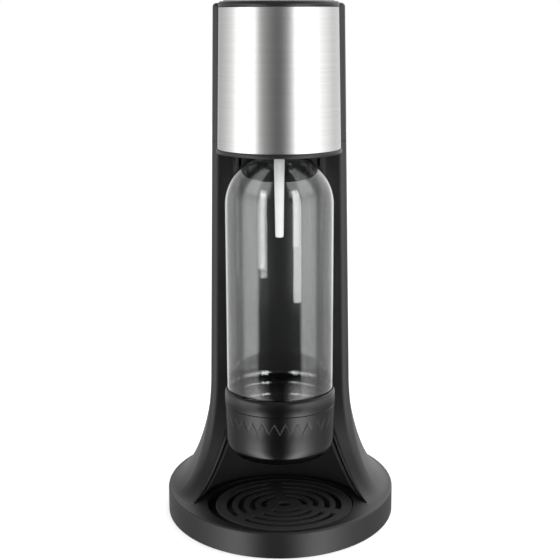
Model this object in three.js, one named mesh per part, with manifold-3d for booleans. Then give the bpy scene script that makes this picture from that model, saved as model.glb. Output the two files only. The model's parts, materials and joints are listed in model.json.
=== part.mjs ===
// A countertop sparkling water maker: a tall column on an oval foot, a steel-wrapped drum that
// carries the bottle, and an upright gas cylinder behind it.
// Millimetres, +Z up. The front faces -Y. The origin is the centre of the foot's underside.
import * as THREE from "three";
import { mergeVertices } from "three/addons/utils/BufferGeometryUtils.js";
import Module from "manifold-3d";

const wasm = await Module();
wasm.setup();

// Clearances and shared sizes
const seatGap = 0.3;
const slideGap = 0.4;
const cutOverrun = 2;
const shellWall = 2.8;

// Foot: an oval disc that the column flares into
const footHalfWidth = 96;
const footHalfLength = 117;
const flareFrontHalfLength = 94;
const discBottomZ = 1.5;
const discTopZ = 21.5;
const discEdgeRadius = 1.5;
const flareSink = 0.6;

// Column
const columnFrontY = -19;
const columnCornerRadius = 7;
const columnSideAtFlare = 9.2;
const columnSideAtTop = 3.8;
const flareTopZ = 120;
const flarePower = 1.8;
const seamZ = 315.4;
const headEdgeRadius = 3;

// Recess for the bottle, round about the bottle's axis
const bottleAxisY = -52;
const recessClearance = 5.7;
const recessFootFlare = 23.9;
const recessFootRearFlare = 16.4;
const recessFlareTopZ = 126;
const linerWall = 2.5;
const linerSetBack = 3;

// Drum of the head
const drumSetIn = 0.6;
const drumTaper = 2.2;
const steelDropBelowSeam = 2.3;
const steelDropBelowTop = 3.8;
const steelWall = 0.8;
const steelRearY = -38;
const drumWall = 1.6;
const drumRimDrop = 3.3;
const drumRimLip = 0.9;
const drumRimBand = 8;

// Drip well, tray and grille
const wellRadius = 60;
const wellFloorZ = 9.8;
const wellFloorWall = 2.6;
const wellWall = 2.4;
const trayShiftX = 3;
const trayClearance = 4.2;
const trayWall = 1.8;
const trayHeight = 7.2;
const grilleOverhang = 0.5;
const grilleThickness = 2.8;
const grilleRimWidth = 2;
const grilleRimHeight = 0.6;
const grilleSlotWidth = 4.6;
const grilleSlotCount = 4;
const grilleOuterLand = 9;
const grilleHubLand = 9.7;
const grilleSpokeWidth = 9;
const grilleSpokeCount = 3;
const grilleTurn = THREE.MathUtils.degToRad(9);
const grilleHubHole = 4.8;
const grilleSkirtWall = 1.6;
const grilleSkirtDrop = 2.4;

// Bottle and its base cup
const bottleRadius = 42.9;
const bottleWall = 1.3;
const bottleShoulderHeight = 44.5;
const bottleNeckHeight = 20.8;
const bottleNeckRadius = 14;
const bottleNeckWall = 2.8;
const bottleBeadRadius = 14.8;
const bottleBeadDrop = 15.3;
const bottleBeadHeight = 2.4;
const bottleMouthDrop = 3.7;
const bottleFootCorner = 13;
const bottleFootPush = 9;
const cupBottomZ = 65;
const cupHeight = 55;
const cupStep = 0.5;
const cupBandStep = 1.1;
const cupBandHeight = 18;
const cupBandEase = 7;
const cupCorner = 14;
const cupWall = 1.5;
const cupFloorWall = 3;

// Bottle holder with its nozzle
const holderPivotDrop = 14;
const holderTopDrop = 7;
const holderHeight = 30.6;
const holderRadius = 20;
const holderBore = 15.4;
const holderEdge = 1;
const trunnionRadius = 4;
const trunnionClearance = 0.1;
const gasketRadius = 13.8;
const nozzleRadius = 4.35;
const nozzleTipRadius = 3.25;
const nozzleReach = 91.3;
const nozzleHeadRadius = 8;
const nozzleHeadHeight = 2.7;
const nozzleBore = 1.2;
const hoseInletX = 14;
const hoseInletY = 6;
const hoseInletRadius = 4;
const hoseInletHeight = 3.5;

// Button on top
const buttonHeight = 13.7;
const buttonSink = 9.7;
const buttonWall = 2.4;
const buttonEdgeRadius = 1.8;
const buttonCrown = 1;
const buttonTravel = 6.5;
const plungerPlate = 3;
const plungerStemRadius = 6;
const plungerLegWidth = 10;
const plungerLegDepth = 6;
const trimRingWidth = 3.2;
const trimRingRise = 0.6;
const trimRingBulge = 0.4;
const springWire = 0.8;
const springRadius = 8.3;
const springTurns = 5;

// Frame inside the head
const frameRise = 36.6;
const framePlate = 3;
const frameLedgeHeight = 4.4;
const frameLedgeWidth = 4.4;
const sleeveWall = 3.2;
const sleeveHeight = 29;
const holderEarGap = 4.8;
const holderEarWall = 4;
const leverEarWall = 3.6;

// Valve lever, block and pin
const leverPivotSetBack = 0.5;
const leverRise = 16;
const leverNoseInset = 24;
const plungerRise = 15;
const leverWidth = 12;
const leverDepth = 8;
const leverBossRadius = 6;
const leverNoseRadius = 3.5;
const leverPinRadius = 2.4;
const runningGap = 0.06;
const cylinderSetBack = 2.5;
const blockHalfWidth = 16.5;
const blockCorner = 5;
const blockDrop = 7;
const blockHeight = 35;
const blockFlange = 8;
const blockFlangeThickness = 3;
const portDrop = 14;
const portRadius = 5;
const portLength = 5;
const valvePinRadius = 2.3;
const valvePinHeadRadius = 5;
const valvePinHeadHeight = 3;
const reliefRadius = 5.5;
const reliefLength = 12;
const reliefStubRadius = 3;
const reliefStubLength = 4.5;
const hoseRadius = 2.5;

// Gas cylinder
const cylinderRadius = 30;
const cylinderRearRoom = 1.1;
const cylinderWall = 3;
const cylinderBottomZ = 7.6;
const cylinderShoulderHeight = 32;
const cylinderNeckRadius = 13;
const cylinderNeckHeight = 8;
const valveStubRadius = 8.6;
const valveHexRadius = 13;
const valveHexHeight = 12;
const valveThreadRadius = 10.8;
const valveSeatDepth = 16.6;
const valveHeight = 31.6;
const valveRecessRadius = 3;
const valveRecessDepth = 6;
const bayHoleRadius = 32.6;

// Base plate, feet and screws
const basePlateZ = 1.9;
const basePlateThickness = 2.4;
const cylinderRingWall = 2;
const cylinderRingHeight = 10;
const cylinderPadThickness = 2.8;
const rubberFootRadius = 8;
const rubberNibRadius = 2.6;
const bossRadius = 4.6;
const screwHeadRadius = 3.2;
const screwHeadHeight = 1.2;
const screwShankRadius = 1.6;
const screwLength = 12;
const frameScrewLength = 9;

// Rear cover
const coverHalfWidth = 40;
const coverBottomZ = 34;
const coverSetBack = 1;

// Steps round curves
const smallSteps = 8;
const coarseSteps = 12;
const mediumSteps = 18;
const fineSteps = 28;
const bottleSteps = 24;
const ovalSteps = 42;
const quarterSteps = 6;
const cornerSteps = 3;
const shoulderSteps = 3;
const drumSteps = 10;

// Radii and depths worked out from the sizes above
const recessRadius = bottleRadius + recessClearance;
const recessFootRadius = recessRadius + recessFootFlare;
const recessFootRearRadius = recessRadius + recessFootRearFlare;
const columnHalfWidthAtFlare = recessRadius + columnSideAtFlare;
const columnHalfWidthAtTop = recessRadius + columnSideAtTop;
const cylinderAxisY = bottleAxisY + recessFootRearRadius + cylinderRadius + cylinderSetBack;
const columnRearInnerY = cylinderAxisY + cylinderRadius + cylinderRearRoom;
const columnRearCentreY = columnRearInnerY - (columnHalfWidthAtTop - shellWall);
const coverFrontY = columnRearCentreY - coverSetBack;
const leverPivotY = cylinderAxisY + blockHalfWidth + leverBossRadius + leverPivotSetBack;
const leverNoseY = bottleAxisY + leverNoseInset;
const drumRadiusBottom = recessRadius - drumSetIn;
const drumRadiusTop = drumRadiusBottom - drumTaper;
const drumRimHoleRadius = drumRadiusBottom - drumRimBand;
const coreInset = steelWall + seatGap;
const trayRadius = wellRadius - trayClearance;
const grilleRadius = trayRadius + grilleOverhang;
const grilleSlotPitch = (grilleRadius - grilleOuterLand - grilleHubLand) / grilleSlotCount;
const cupRadius = bottleRadius + cupStep;
const cupBandRadius = cupRadius + cupBandStep;
const bottleFootRadius = cupRadius - cupWall - seatGap;
const buttonRadius = drumRadiusTop - trimRingWidth - slideGap;
const buttonSkirtRadius = buttonRadius - 2 * slideGap;
const plungerRadius = buttonSkirtRadius - buttonWall / 2;

// Heights in the foot and of the bottle's cup
const trayFloorZ = wellFloorZ + seatGap;
const trayRimZ = trayFloorZ + trayHeight;
const grilleZ = trayRimZ + seatGap;
const cupRimZ = cupBottomZ + cupHeight;
const bottleFootZ = cupBottomZ + cupFloorWall + seatGap;

// Heights in the head, stacked up from the seam
const seamTopZ = seamZ + seatGap / 2;
const seamBottomZ = seamZ - seatGap / 2;
const steelBottomZ = seamZ - steelDropBelowSeam;
const drumRimTopZ = steelBottomZ - seatGap;
const drumRimBottomZ = steelBottomZ - drumRimDrop;
const frameZ = seamZ + frameRise;
const frameTopZ = frameZ + framePlate;
const sleeveTopZ = frameTopZ + sleeveHeight;
const blockBottomZ = frameZ - blockDrop;
const blockTopZ = blockBottomZ + blockHeight;
const portZ = blockTopZ - portDrop;
const leverPivotZ = blockTopZ + leverRise;
const leverTopZ = leverPivotZ + leverDepth / 2;
const leverNoseTopZ = leverTopZ + leverNoseRadius / 2;
const pinHeadTopZ = leverPivotZ - leverDepth / 2 - seatGap;
const pinHeadZ = pinHeadTopZ - valvePinHeadHeight;
const plungerZ = leverPivotZ + plungerRise;
const plungerTopZ = plungerZ + plungerPlate;
const plungerStemZ = frameTopZ + buttonTravel + slideGap;
const buttonSkirtZ = plungerTopZ + seatGap;
const buttonTopZ = buttonSkirtZ + buttonHeight;
const headTopZ = buttonSkirtZ + buttonSink;
const steelTopZ = headTopZ - steelDropBelowTop;
const trimRingTopZ = headTopZ + trimRingRise;

// Heights of what hangs under the frame and the block
const holderPivotZ = frameZ - holderPivotDrop;
const holderTopZ = frameZ - holderTopDrop;
const holderBottomZ = holderTopZ - holderHeight;
const bottleMouthZ = holderPivotZ - bottleMouthDrop;
const bottleNeckZ = bottleMouthZ - bottleNeckHeight;
const bottleBeadZ = bottleMouthZ - bottleBeadDrop;
const bottleShoulderZ = bottleNeckZ - bottleShoulderHeight;
const nozzleTipZ = bottleMouthZ - nozzleReach;
const valveTopZ = blockBottomZ + valveSeatDepth;
const socketTopZ = valveTopZ + 2 * seatGap;
const cylinderTopZ = valveTopZ - valveHeight;
const cylinderNeckZ = cylinderTopZ - cylinderNeckHeight;
const cylinderShoulderZ = cylinderNeckZ - cylinderShoulderHeight;

// Finishes
function finish(color, roughness, metalness) {
  return new THREE.MeshStandardMaterial({ color, roughness, metalness });
}
const blackShell = finish(0x232325, 0.42, 0);
const blackInner = finish(0x151516, 0.5, 0);
const blackCup = finish(0x121213, 0.3, 0);
const brushedSteel = finish(0xb9b9b7, 0.32, 1);
const greyButton = finish(0xc4c6c8, 0.35, 0);
const greyPlastic = finish(0x6e7276, 0.6, 0);
const whitePlastic = finish(0xf0f0ee, 0.4, 0);
const clearPlastic = finish(0xdfe6e8, 0.08, 0);
const rubber = finish(0x1a1a1a, 0.85, 0);
const brass = finish(0xb08d57, 0.35, 1);
const zincSteel = finish(0x9fa3a6, 0.4, 1);
const paintedSteel = finish(0x8d9196, 0.35, 0.6);
const redPlastic = finish(0x9c2f2a, 0.5, 0);

// Turning geometries into solids, and solids back into geometries
function signedVolume(points, index) {
  let sum = 0;
  const [a, b, c] = [new THREE.Vector3(), new THREE.Vector3(), new THREE.Vector3()];
  for (let i = 0; i < index.length; i += 3) {
    a.fromArray(points, 3 * index[i]);
    b.fromArray(points, 3 * index[i + 1]);
    c.fromArray(points, 3 * index[i + 2]);
    sum += a.dot(b.cross(c));
  }
  return sum;
}

function solidOf(geometry) {
  const bare = geometry.clone();
  bare.deleteAttribute("normal");
  bare.deleteAttribute("uv");
  const welded = mergeVertices(bare);
  const vertProperties = new Float32Array(welded.attributes.position.array);
  const index = welded.index.array;
  const kept = [];
  for (let i = 0; i < index.length; i += 3) {
    const [a, b, c] = [index[i], index[i + 1], index[i + 2]];
    if (a !== b && b !== c && c !== a) {
      kept.push(a, b, c);
    }
  }
  if (signedVolume(vertProperties, kept) < 0) {
    kept.reverse();
  }
  const triVerts = new Uint32Array(kept);
  return new wasm.Manifold(new wasm.Mesh({ numProp: 3, vertProperties, triVerts }));
}

function geometryOf(solid) {
  const mesh = solid.getMesh();
  const geometry = new THREE.BufferGeometry();
  geometry.setAttribute("position", new THREE.BufferAttribute(mesh.vertProperties, mesh.numProp));
  geometry.setIndex(new THREE.BufferAttribute(mesh.triVerts, 1));
  geometry.computeVertexNormals();
  return geometry;
}

function joined(...solids) {
  return solids.reduce((whole, next) => whole.add(next));
}

// Basic solids, each given by where it starts and ends
function lathe(profile, steps = mediumSteps) {
  const points = profile.map(([radius, z]) => new THREE.Vector2(radius, z));
  const geometry = new THREE.LatheGeometry(points, steps);
  geometry.rotateX(Math.PI / 2);
  return solidOf(geometry);
}

function disc(radius, z0, z1, steps = coarseSteps) {
  const outline = ovalOutline(radius, radius, steps);
  return loft([{ z: z0, outline }, { z: z1, outline }]);
}

function ring(inner, outer, z0, z1, steps = mediumSteps) {
  return lathe([[inner, z0], [outer, z0], [outer, z1], [inner, z1], [inner, z0]], steps);
}

// An arc in an extruded shape gets twice as many edges as its curve segments
function extruded(shape, z0, z1, curveSegments = smallSteps) {
  const options = { depth: z1 - z0, bevelEnabled: false, curveSegments };
  return solidOf(new THREE.ExtrudeGeometry(shape, options).translate(0, 0, z0));
}

function block(x0, x1, y0, y1, z0, z1) {
  const geometry = new THREE.BoxGeometry(x1 - x0, y1 - y0, z1 - z0);
  return solidOf(geometry.translate((x0 + x1) / 2, (y0 + y1) / 2, (z0 + z1) / 2));
}

function barAlongX(radius, x0, x1, y, z, steps = coarseSteps) {
  const geometry = new THREE.CylinderGeometry(radius, radius, x1 - x0, steps);
  return solidOf(geometry.rotateZ(Math.PI / 2).translate((x0 + x1) / 2, y, z));
}

function barAlongY(radius, y0, y1, x, z, steps = coarseSteps) {
  const geometry = new THREE.CylinderGeometry(radius, radius, y1 - y0, steps);
  return solidOf(geometry.translate(x, (y0 + y1) / 2, z));
}

// A closed skin through outlines that lie above each other and have equally many points
function loft(sections) {
  const count = sections[0].outline.length;
  const positions = [];
  for (const { z, outline } of sections) {
    outline.forEach((point) => positions.push(point.x, point.y, z));
  }
  const index = [];
  for (let level = 0; level + 1 < sections.length; level++) {
    for (let i = 0; i < count; i++) {
      const [a, b] = [level * count + i, level * count + ((i + 1) % count)];
      index.push(a, b, b + count, a, b + count, a + count);
    }
  }
  const last = (sections.length - 1) * count;
  for (const [a, b, c] of THREE.ShapeUtils.triangulateShape(sections[0].outline, [])) {
    index.push(c, b, a);
  }
  for (const [a, b, c] of THREE.ShapeUtils.triangulateShape(sections.at(-1).outline, [])) {
    index.push(last + a, last + b, last + c);
  }
  const geometry = new THREE.BufferGeometry();
  geometry.setAttribute("position", new THREE.Float32BufferAttribute(positions, 3));
  geometry.setIndex(index);
  return solidOf(geometry);
}

// A quarter of an ellipse from one profile point to another, upright at its first end
function quarterArc(from, to, steps = quarterSteps) {
  const points = [];
  for (let i = 0; i <= steps; i++) {
    const angle = (Math.PI / 2) * (i / steps);
    const radius = to[0] + (from[0] - to[0]) * Math.cos(angle);
    points.push([radius, from[1] + (to[1] - from[1]) * Math.sin(angle)]);
  }
  return points;
}

// Outlines of the foot and the column
function ovalOutline(halfWidth, halfLength, steps = ovalSteps) {
  const points = [];
  for (let i = 0; i < steps; i++) {
    const angle = (2 * Math.PI * i) / steps;
    points.push(new THREE.Vector2(halfWidth * Math.cos(angle), halfLength * Math.sin(angle)));
  }
  return points;
}

function ovalDisc(inset, z0, z1, edge) {
  const at = (z, shrink) => {
    const half = [footHalfWidth - inset - shrink, footHalfLength - inset - shrink];
    return { z, outline: ovalOutline(half[0], half[1]) };
  };
  if (!edge) {
    return loft([at(z0, 0), at(z1, 0)]);
  }
  const soft = edge * (1 - Math.SQRT1_2);
  const low = [at(z0, edge / 2), at(z0 + edge / 2, 0)];
  return loft([...low, at(z1 - edge, 0), at(z1 - soft, soft), at(z1, edge)]);
}

function columnHalfWidth(z) {
  const share = (z - flareTopZ) / (headTopZ - flareTopZ);
  return THREE.MathUtils.lerp(columnHalfWidthAtFlare, columnHalfWidthAtTop, Math.max(share, 0));
}

function columnOutline(halfWidth, inset) {
  const side = halfWidth - inset;
  const front = columnFrontY + inset;
  const corner = Math.max(columnCornerRadius - inset, columnCornerRadius / 4);
  const points = [];
  for (let i = 0; i <= cornerSteps; i++) {
    const angle = (Math.PI / 2) * (i / cornerSteps);
    const x = side - corner + corner * Math.sin(angle);
    points.push(new THREE.Vector2(x, front + corner - corner * Math.cos(angle)));
  }
  points.push(new THREE.Vector2(side, columnFrontY / 2 + columnRearCentreY / 2));
  const rearSteps = mediumSteps;
  for (let i = 0; i <= rearSteps; i++) {
    const angle = Math.PI * (i / rearSteps);
    const y = columnRearCentreY + side * Math.sin(angle);
    points.push(new THREE.Vector2(side * Math.cos(angle), y));
  }
  points.push(new THREE.Vector2(-side, columnFrontY / 2 + columnRearCentreY / 2));
  for (let i = cornerSteps; i >= 0; i--) {
    const mirrored = points[i];
    points.push(new THREE.Vector2(-mirrored.x, mirrored.y));
  }
  points.push(new THREE.Vector2(0, front));
  return points;
}

// Where a ray from the column's rear centre through a point meets the foot of the flare
function flareFootPoint(through, inset) {
  const origin = new THREE.Vector2(0, columnRearCentreY);
  const ray = through.clone().sub(origin).normalize();
  const meet = (halfLength) => {
    const [a, b] = [footHalfWidth - discEdgeRadius - inset, halfLength - inset];
    const square = (ray.x / a) ** 2 + (ray.y / b) ** 2;
    const cross = (origin.y * ray.y) / b ** 2;
    const rest = (origin.y / b) ** 2 - 1;
    const reach = (Math.sqrt(cross ** 2 - square * rest) - cross) / square;
    return origin.clone().addScaledVector(ray, reach);
  };
  const front = meet(flareFrontHalfLength);
  return front.y < 0 ? front : meet(footHalfLength - discEdgeRadius);
}

// One level of the flare: zero at its top, a right angle where it lies flat on the foot
function flareSection(angle, inset) {
  const power = 2 / flarePower;
  const spread = 1 - Math.cos(angle) ** power;
  const footZ = discTopZ - flareSink;
  const height = (flareTopZ - footZ) * Math.sin(angle) ** power;
  const lean = inset * Math.cos(angle);
  const upper = columnOutline(columnHalfWidthAtFlare, lean);
  const directions = columnOutline(columnHalfWidthAtFlare, 0);
  const outline = upper.map((point, i) => {
    return point.clone().lerp(flareFootPoint(directions[i], lean), spread);
  });
  return { z: flareTopZ - height - inset * Math.sin(angle), outline };
}

function columnSolid(inset, topZ) {
  const sections = [];
  for (let i = quarterSteps; i >= 0; i--) {
    sections.push(flareSection((Math.PI / 2) * (i / quarterSteps), inset));
  }
  sections.push({ z: topZ, outline: columnOutline(columnHalfWidth(topZ), inset) });
  return loft(sections);
}

function columnSlice(inset, z0, z1) {
  return loft([z0, z1].map((z) => ({ z, outline: columnOutline(columnHalfWidth(z), inset) })));
}

// The bottle recess, opening like a bell towards the foot, about the bottle's axis
function recessProfile(shrink, bottomZ, topZ) {
  const upper = [recessRadius - shrink, recessFlareTopZ];
  const lower = [recessFootRadius - shrink, discTopZ];
  const flare = quarterArc(upper, lower);
  return [[0, bottomZ], [lower[0], bottomZ], ...flare.reverse(), [upper[0], topZ], [0, topZ]];
}

// Behind the bottle the bell opens less than it does at the sides
function recessSolid(shrink, bottomZ, topZ) {
  const points = recessProfile(shrink, bottomZ, topZ).map(([x, y]) => new THREE.Vector2(x, y));
  const geometry = new THREE.LatheGeometry(points, ovalSteps).rotateX(Math.PI / 2);
  const place = geometry.attributes.position;
  const upper = recessRadius - shrink;
  const rearShare = (recessFootRearRadius - recessRadius) / (recessFootRadius - recessRadius);
  for (let i = 0; i < place.count; i++) {
    const radius = Math.hypot(place.getX(i), place.getY(i));
    if (place.getY(i) > 0 && radius > upper) {
      const rear = upper + (radius - upper) * rearShare;
      place.setY(i, (place.getY(i) * rear) / radius);
    }
  }
  return solidOf(geometry.translate(0, bottleAxisY, 0));
}

function aboutBottle(solid) {
  return solid.translate(0, bottleAxisY, 0);
}

// The drum's outline: a half circle in front with straight sides back to the column
function drumShape(radius, rearY) {
  const shape = new THREE.Shape();
  shape.moveTo(radius, rearY);
  shape.lineTo(-radius, rearY);
  shape.lineTo(-radius, bottleAxisY);
  shape.absarc(0, bottleAxisY, radius, Math.PI, 2 * Math.PI, false);
  shape.lineTo(radius, rearY);
  return shape;
}

// The drum narrows slightly from its bottom to its top
function drumSolid(shape, z0, z1) {
  const options = { depth: z1 - z0, bevelEnabled: false, curveSegments: drumSteps };
  const geometry = new THREE.ExtrudeGeometry(shape, options).translate(0, 0, z0);
  const place = geometry.attributes.position;
  const span = steelTopZ - steelBottomZ;
  for (let i = 0; i < place.count; i++) {
    const share = (place.getZ(i) - steelBottomZ) / span;
    const scale = THREE.MathUtils.lerp(1, drumRadiusTop / drumRadiusBottom, share);
    const forward = Math.min(place.getY(i) - bottleAxisY, 0);
    place.setX(i, place.getX(i) * scale);
    place.setY(i, place.getY(i) + forward * (scale - 1));
  }
  return solidOf(geometry);
}

function screwHole(x, y, radius, z0, z1) {
  return disc(radius, z0, z1, smallSteps).translate(x, y, 0);
}

// Where screws go, as shares of the foot's and the column's half sizes
const baseScrewShares = [[0.8, 0.2], [-0.8, 0.2], [0.5, 0.7], [-0.5, 0.7]];
const baseScrewPlaces = baseScrewShares.map(([x, y]) => [x * footHalfWidth, y * footHalfLength]);
const frameScrewX = columnHalfWidthAtTop - shellWall - bossRadius;
const frameScrewRearY = columnRearCentreY;
const frameScrewFrontY = columnFrontY + columnCornerRadius;
const frameScrewPlaces = [
  [frameScrewX, frameScrewFrontY],
  [-frameScrewX, frameScrewFrontY],
  [frameScrewX, frameScrewRearY],
  [-frameScrewX, frameScrewRearY],
];
const blockScrewX = blockHalfWidth + blockFlange / 2;
const footShares = [[0.62, 0.62], [-0.62, 0.62], [0.66, -0.6], [-0.66, -0.6]];
const footPlaces = footShares.map(([x, y]) => [x * footHalfWidth, y * footHalfLength]);

// Stand

function makeMainBody() {
  const outer = joined(
    columnSolid(0, seamBottomZ),
    ovalDisc(0, discBottomZ, discTopZ, discEdgeRadius),
  );
  const discRoom = ovalDisc(shellWall, discBottomZ - cutOverrun, discTopZ - shellWall);
  const above = block(
    -footHalfWidth, footHalfWidth, -footHalfLength, footHalfLength, discTopZ, headTopZ,
  );
  const columnRoom = columnSolid(shellWall, seamZ + cutOverrun).intersect(above);
  const wellFloorUnder = wellFloorZ - wellFloorWall;
  const wellCup = aboutBottle(
    disc(wellRadius + wellWall, wellFloorUnder, discTopZ - shellWall / 2, fineSteps),
  );
  const insideDisc = ovalDisc(shellWall / 2, discBottomZ, discTopZ - shellWall / 3);
  const bosses = baseScrewPlaces.map(([x, y]) => {
    const bottom = basePlateZ + basePlateThickness + seatGap;
    return disc(bossRadius, bottom, discTopZ - shellWall / 2).translate(x, y, 0);
  });
  const holes = baseScrewPlaces.map(([x, y]) => {
    return screwHole(x, y, screwShankRadius + seatGap, discBottomZ, basePlateZ + screwLength + seatGap);
  });
  const opening = block(
    -coverHalfWidth - slideGap, coverHalfWidth + slideGap,
    coverFrontY, footHalfLength,
    coverBottomZ - slideGap, seamZ + cutOverrun,
  );
  return joined(outer.subtract(discRoom), wellCup.intersect(insideDisc), ...bosses)
    .subtract(columnRoom)
    .subtract(recessSolid(0, discTopZ, seamZ + cutOverrun))
    .subtract(aboutBottle(disc(wellRadius, wellFloorZ, discTopZ + cutOverrun, fineSteps)))
    .subtract(disc(bayHoleRadius, wellFloorUnder, discTopZ + cutOverrun, mediumSteps)
      .translate(0, cylinderAxisY, 0)
      .subtract(aboutBottle(disc(wellRadius + wellWall, 0, discTopZ - shellWall, fineSteps))))
    .subtract(opening)
    .subtract(joined(...holes));
}

function makeRecessLiner() {
  const topZ = seamBottomZ - seatGap;
  const bottomZ = discTopZ + seatGap;
  const skin = recessSolid(seatGap, bottomZ, topZ)
    .subtract(recessSolid(seatGap + linerWall, bottomZ - cutOverrun, topZ + cutOverrun));
  return skin.intersect(columnSolid(linerSetBack, topZ));
}

function makeRearCover() {
  const shell = columnSolid(0, seamBottomZ).subtract(columnSolid(shellWall, seamZ + cutOverrun));
  const window = block(
    -coverHalfWidth, coverHalfWidth,
    coverFrontY, footHalfLength,
    coverBottomZ, seamZ,
  );
  return shell.intersect(window);
}

function makeBasePlate() {
  const top = basePlateZ + basePlateThickness;
  const plate = ovalDisc(shellWall + slideGap, basePlateZ, top);
  const inner = cylinderRadius + seatGap;
  const seat = ring(inner, inner + cylinderRingWall, top - seatGap, top + cylinderRingHeight);
  const holes = [
    ...baseScrewPlaces.map(([x, y]) => {
      return screwHole(x, y, screwShankRadius + seatGap, discBottomZ, top + cutOverrun);
    }),
    ...footPlaces.map(([x, y]) => {
      return screwHole(x, y, rubberNibRadius + seatGap, 0, top + cutOverrun);
    }),
  ];
  return plate.add(seat.translate(0, cylinderAxisY, 0)).subtract(joined(...holes));
}

function makeRubberFoot() {
  const tread = basePlateZ - seatGap;
  const top = basePlateZ + basePlateThickness + seatGap;
  const edge = tread / 4;
  return lathe([
    [0, 0],
    [rubberFootRadius - edge, 0],
    [rubberFootRadius, edge],
    [rubberFootRadius, tread],
    [rubberNibRadius, tread],
    [rubberNibRadius, top],
    [0, top],
  ], smallSteps);
}

function makeScrew(length) {
  return lathe([
    [0, -screwHeadHeight],
    [screwHeadRadius - screwHeadHeight / 2, -screwHeadHeight],
    [screwHeadRadius, 0],
    [screwShankRadius, 0],
    [screwShankRadius, length],
    [0, length],
  ], smallSteps);
}

function makeCylinderPad() {
  const top = cylinderBottomZ - seatGap;
  return disc(cylinderRadius - 2 * seatGap, top - cylinderPadThickness, top, mediumSteps);
}

// Drip tray and grille

function makeDripTray() {
  const inner = trayRadius - trayWall;
  return lathe([
    [0, trayFloorZ],
    [trayRadius - trayWall, trayFloorZ],
    [trayRadius, trayFloorZ + trayWall],
    [trayRadius, trayRimZ],
    [inner, trayRimZ],
    [inner, trayFloorZ + 2 * trayWall],
    [inner - trayWall, trayFloorZ + trayWall],
    [0, trayFloorZ + trayWall],
  ], fineSteps);
}

function grilleSlots() {
  const slots = [];
  for (let row = 0; row < grilleSlotCount; row++) {
    const outer = grilleRadius - grilleOuterLand - row * grilleSlotPitch;
    const inner = outer - grilleSlotWidth;
    const half = Math.asin(grilleSpokeWidth / (inner + outer));
    for (let spoke = 0; spoke < grilleSpokeCount; spoke++) {
      const start = Math.PI / 2 + grilleTurn + (2 * Math.PI * spoke) / grilleSpokeCount;
      const end = start + (2 * Math.PI) / grilleSpokeCount;
      const slot = new THREE.Path();
      slot.absarc(0, 0, outer, start + half, end - half, false);
      slot.absarc(0, 0, inner, end - half, start + half, true);
      slot.closePath();
      slots.push(slot);
    }
  }
  return slots;
}

function makeDripGrille() {
  const skirtOuter = trayRadius - trayWall - slideGap;
  const skirtInner = skirtOuter - grilleSkirtWall;
  const plateTop = grilleZ + grilleThickness - grilleRimHeight;
  const rimTop = plateTop + grilleRimHeight;
  const rimInner = grilleRadius - grilleRimWidth;
  const rim = lathe([
    [skirtInner, grilleZ - grilleSkirtDrop],
    [skirtOuter, grilleZ - grilleSkirtDrop],
    [skirtOuter, grilleZ],
    [grilleRadius, grilleZ],
    [grilleRadius, plateTop],
    [grilleRadius - grilleRimHeight, rimTop],
    [rimInner, rimTop],
    [rimInner - grilleRimHeight, plateTop],
    [skirtInner, plateTop],
    [skirtInner, grilleZ - grilleSkirtDrop],
  ], fineSteps);
  const middle = (skirtInner + skirtOuter) / 2;
  const plate = new THREE.Shape(ovalOutline(middle, middle, fineSteps));
  const hub = new THREE.Path(ovalOutline(grilleHubHole, grilleHubHole, coarseSteps));
  plate.holes.push(hub, ...grilleSlots());
  return extruded(plate, grilleZ, plateTop, cornerSteps).add(rim);
}

// Head

function housingOutside() {
  const edge = headEdgeRadius;
  const soft = edge * (1 - Math.SQRT1_2);
  const levels = [[seamTopZ, 0], [headTopZ - edge, 0], [headTopZ - soft, soft], [headTopZ, edge]];
  return loft(levels.map(([z, inset]) => {
    return { z, outline: columnOutline(columnHalfWidth(z), inset) };
  }));
}

function makeUpperHousing() {
  const coreRadius = drumRadiusBottom - coreInset;
  const rearY = columnFrontY + columnCornerRadius;
  const core = drumSolid(drumShape(coreRadius, rearY), seamTopZ, steelTopZ);
  const ringSeatZ = steelTopZ + seatGap;
  const brow = drumSolid(drumShape(drumRadiusBottom, rearY), ringSeatZ, headTopZ);
  const seatRadius = drumRadiusTop + trimRingBulge + slideGap;
  const buttonRoom = buttonRadius + slideGap;
  const collarOuter = drumRadiusTop - coreInset - drumWall / 2;
  const collar = aboutBottle(ring(buttonRoom, collarOuter, buttonSkirtZ, steelTopZ, fineSteps));
  const rooms = joined(
    columnSlice(shellWall, seamZ - cutOverrun, headTopZ - shellWall),
    drumSolid(drumShape(coreRadius - drumWall, rearY), seamZ - cutOverrun, headTopZ - shellWall),
  );
  const ledgeBottom = frameZ - seatGap - frameLedgeHeight;
  const ledgeTop = frameZ - seatGap;
  const ledgeInset = shellWall + frameLedgeWidth;
  const drumPassage = drumShape(coreRadius - drumWall, rearY + columnCornerRadius);
  const ledge = columnSlice(shellWall / 2, ledgeBottom, ledgeTop)
    .subtract(columnSlice(ledgeInset, ledgeBottom - cutOverrun, ledgeTop + cutOverrun))
    .subtract(drumSolid(drumPassage, ledgeBottom - cutOverrun, ledgeTop + cutOverrun));
  const bossBottom = frameTopZ - frameScrewLength - frameLedgeHeight / 2;
  const bosses = frameScrewPlaces.map(([x, y]) => {
    return disc(bossRadius, bossBottom, ledgeTop).translate(x, y, 0);
  });
  const holes = frameScrewPlaces.map(([x, y]) => {
    const bottom = frameTopZ - frameScrewLength - 2 * seatGap;
    return screwHole(x, y, screwShankRadius + seatGap, bottom, frameZ);
  });
  return joined(housingOutside(), core, brow)
    .subtract(aboutBottle(disc(seatRadius, steelTopZ, headTopZ + cutOverrun, fineSteps)))
    .subtract(rooms)
    .add(collar)
    .add(ledge)
    .add(joined(...bosses))
    .subtract(aboutBottle(disc(buttonRoom, buttonSkirtZ - cutOverrun, steelTopZ, fineSteps)))
    .subtract(joined(...holes));
}

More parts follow.
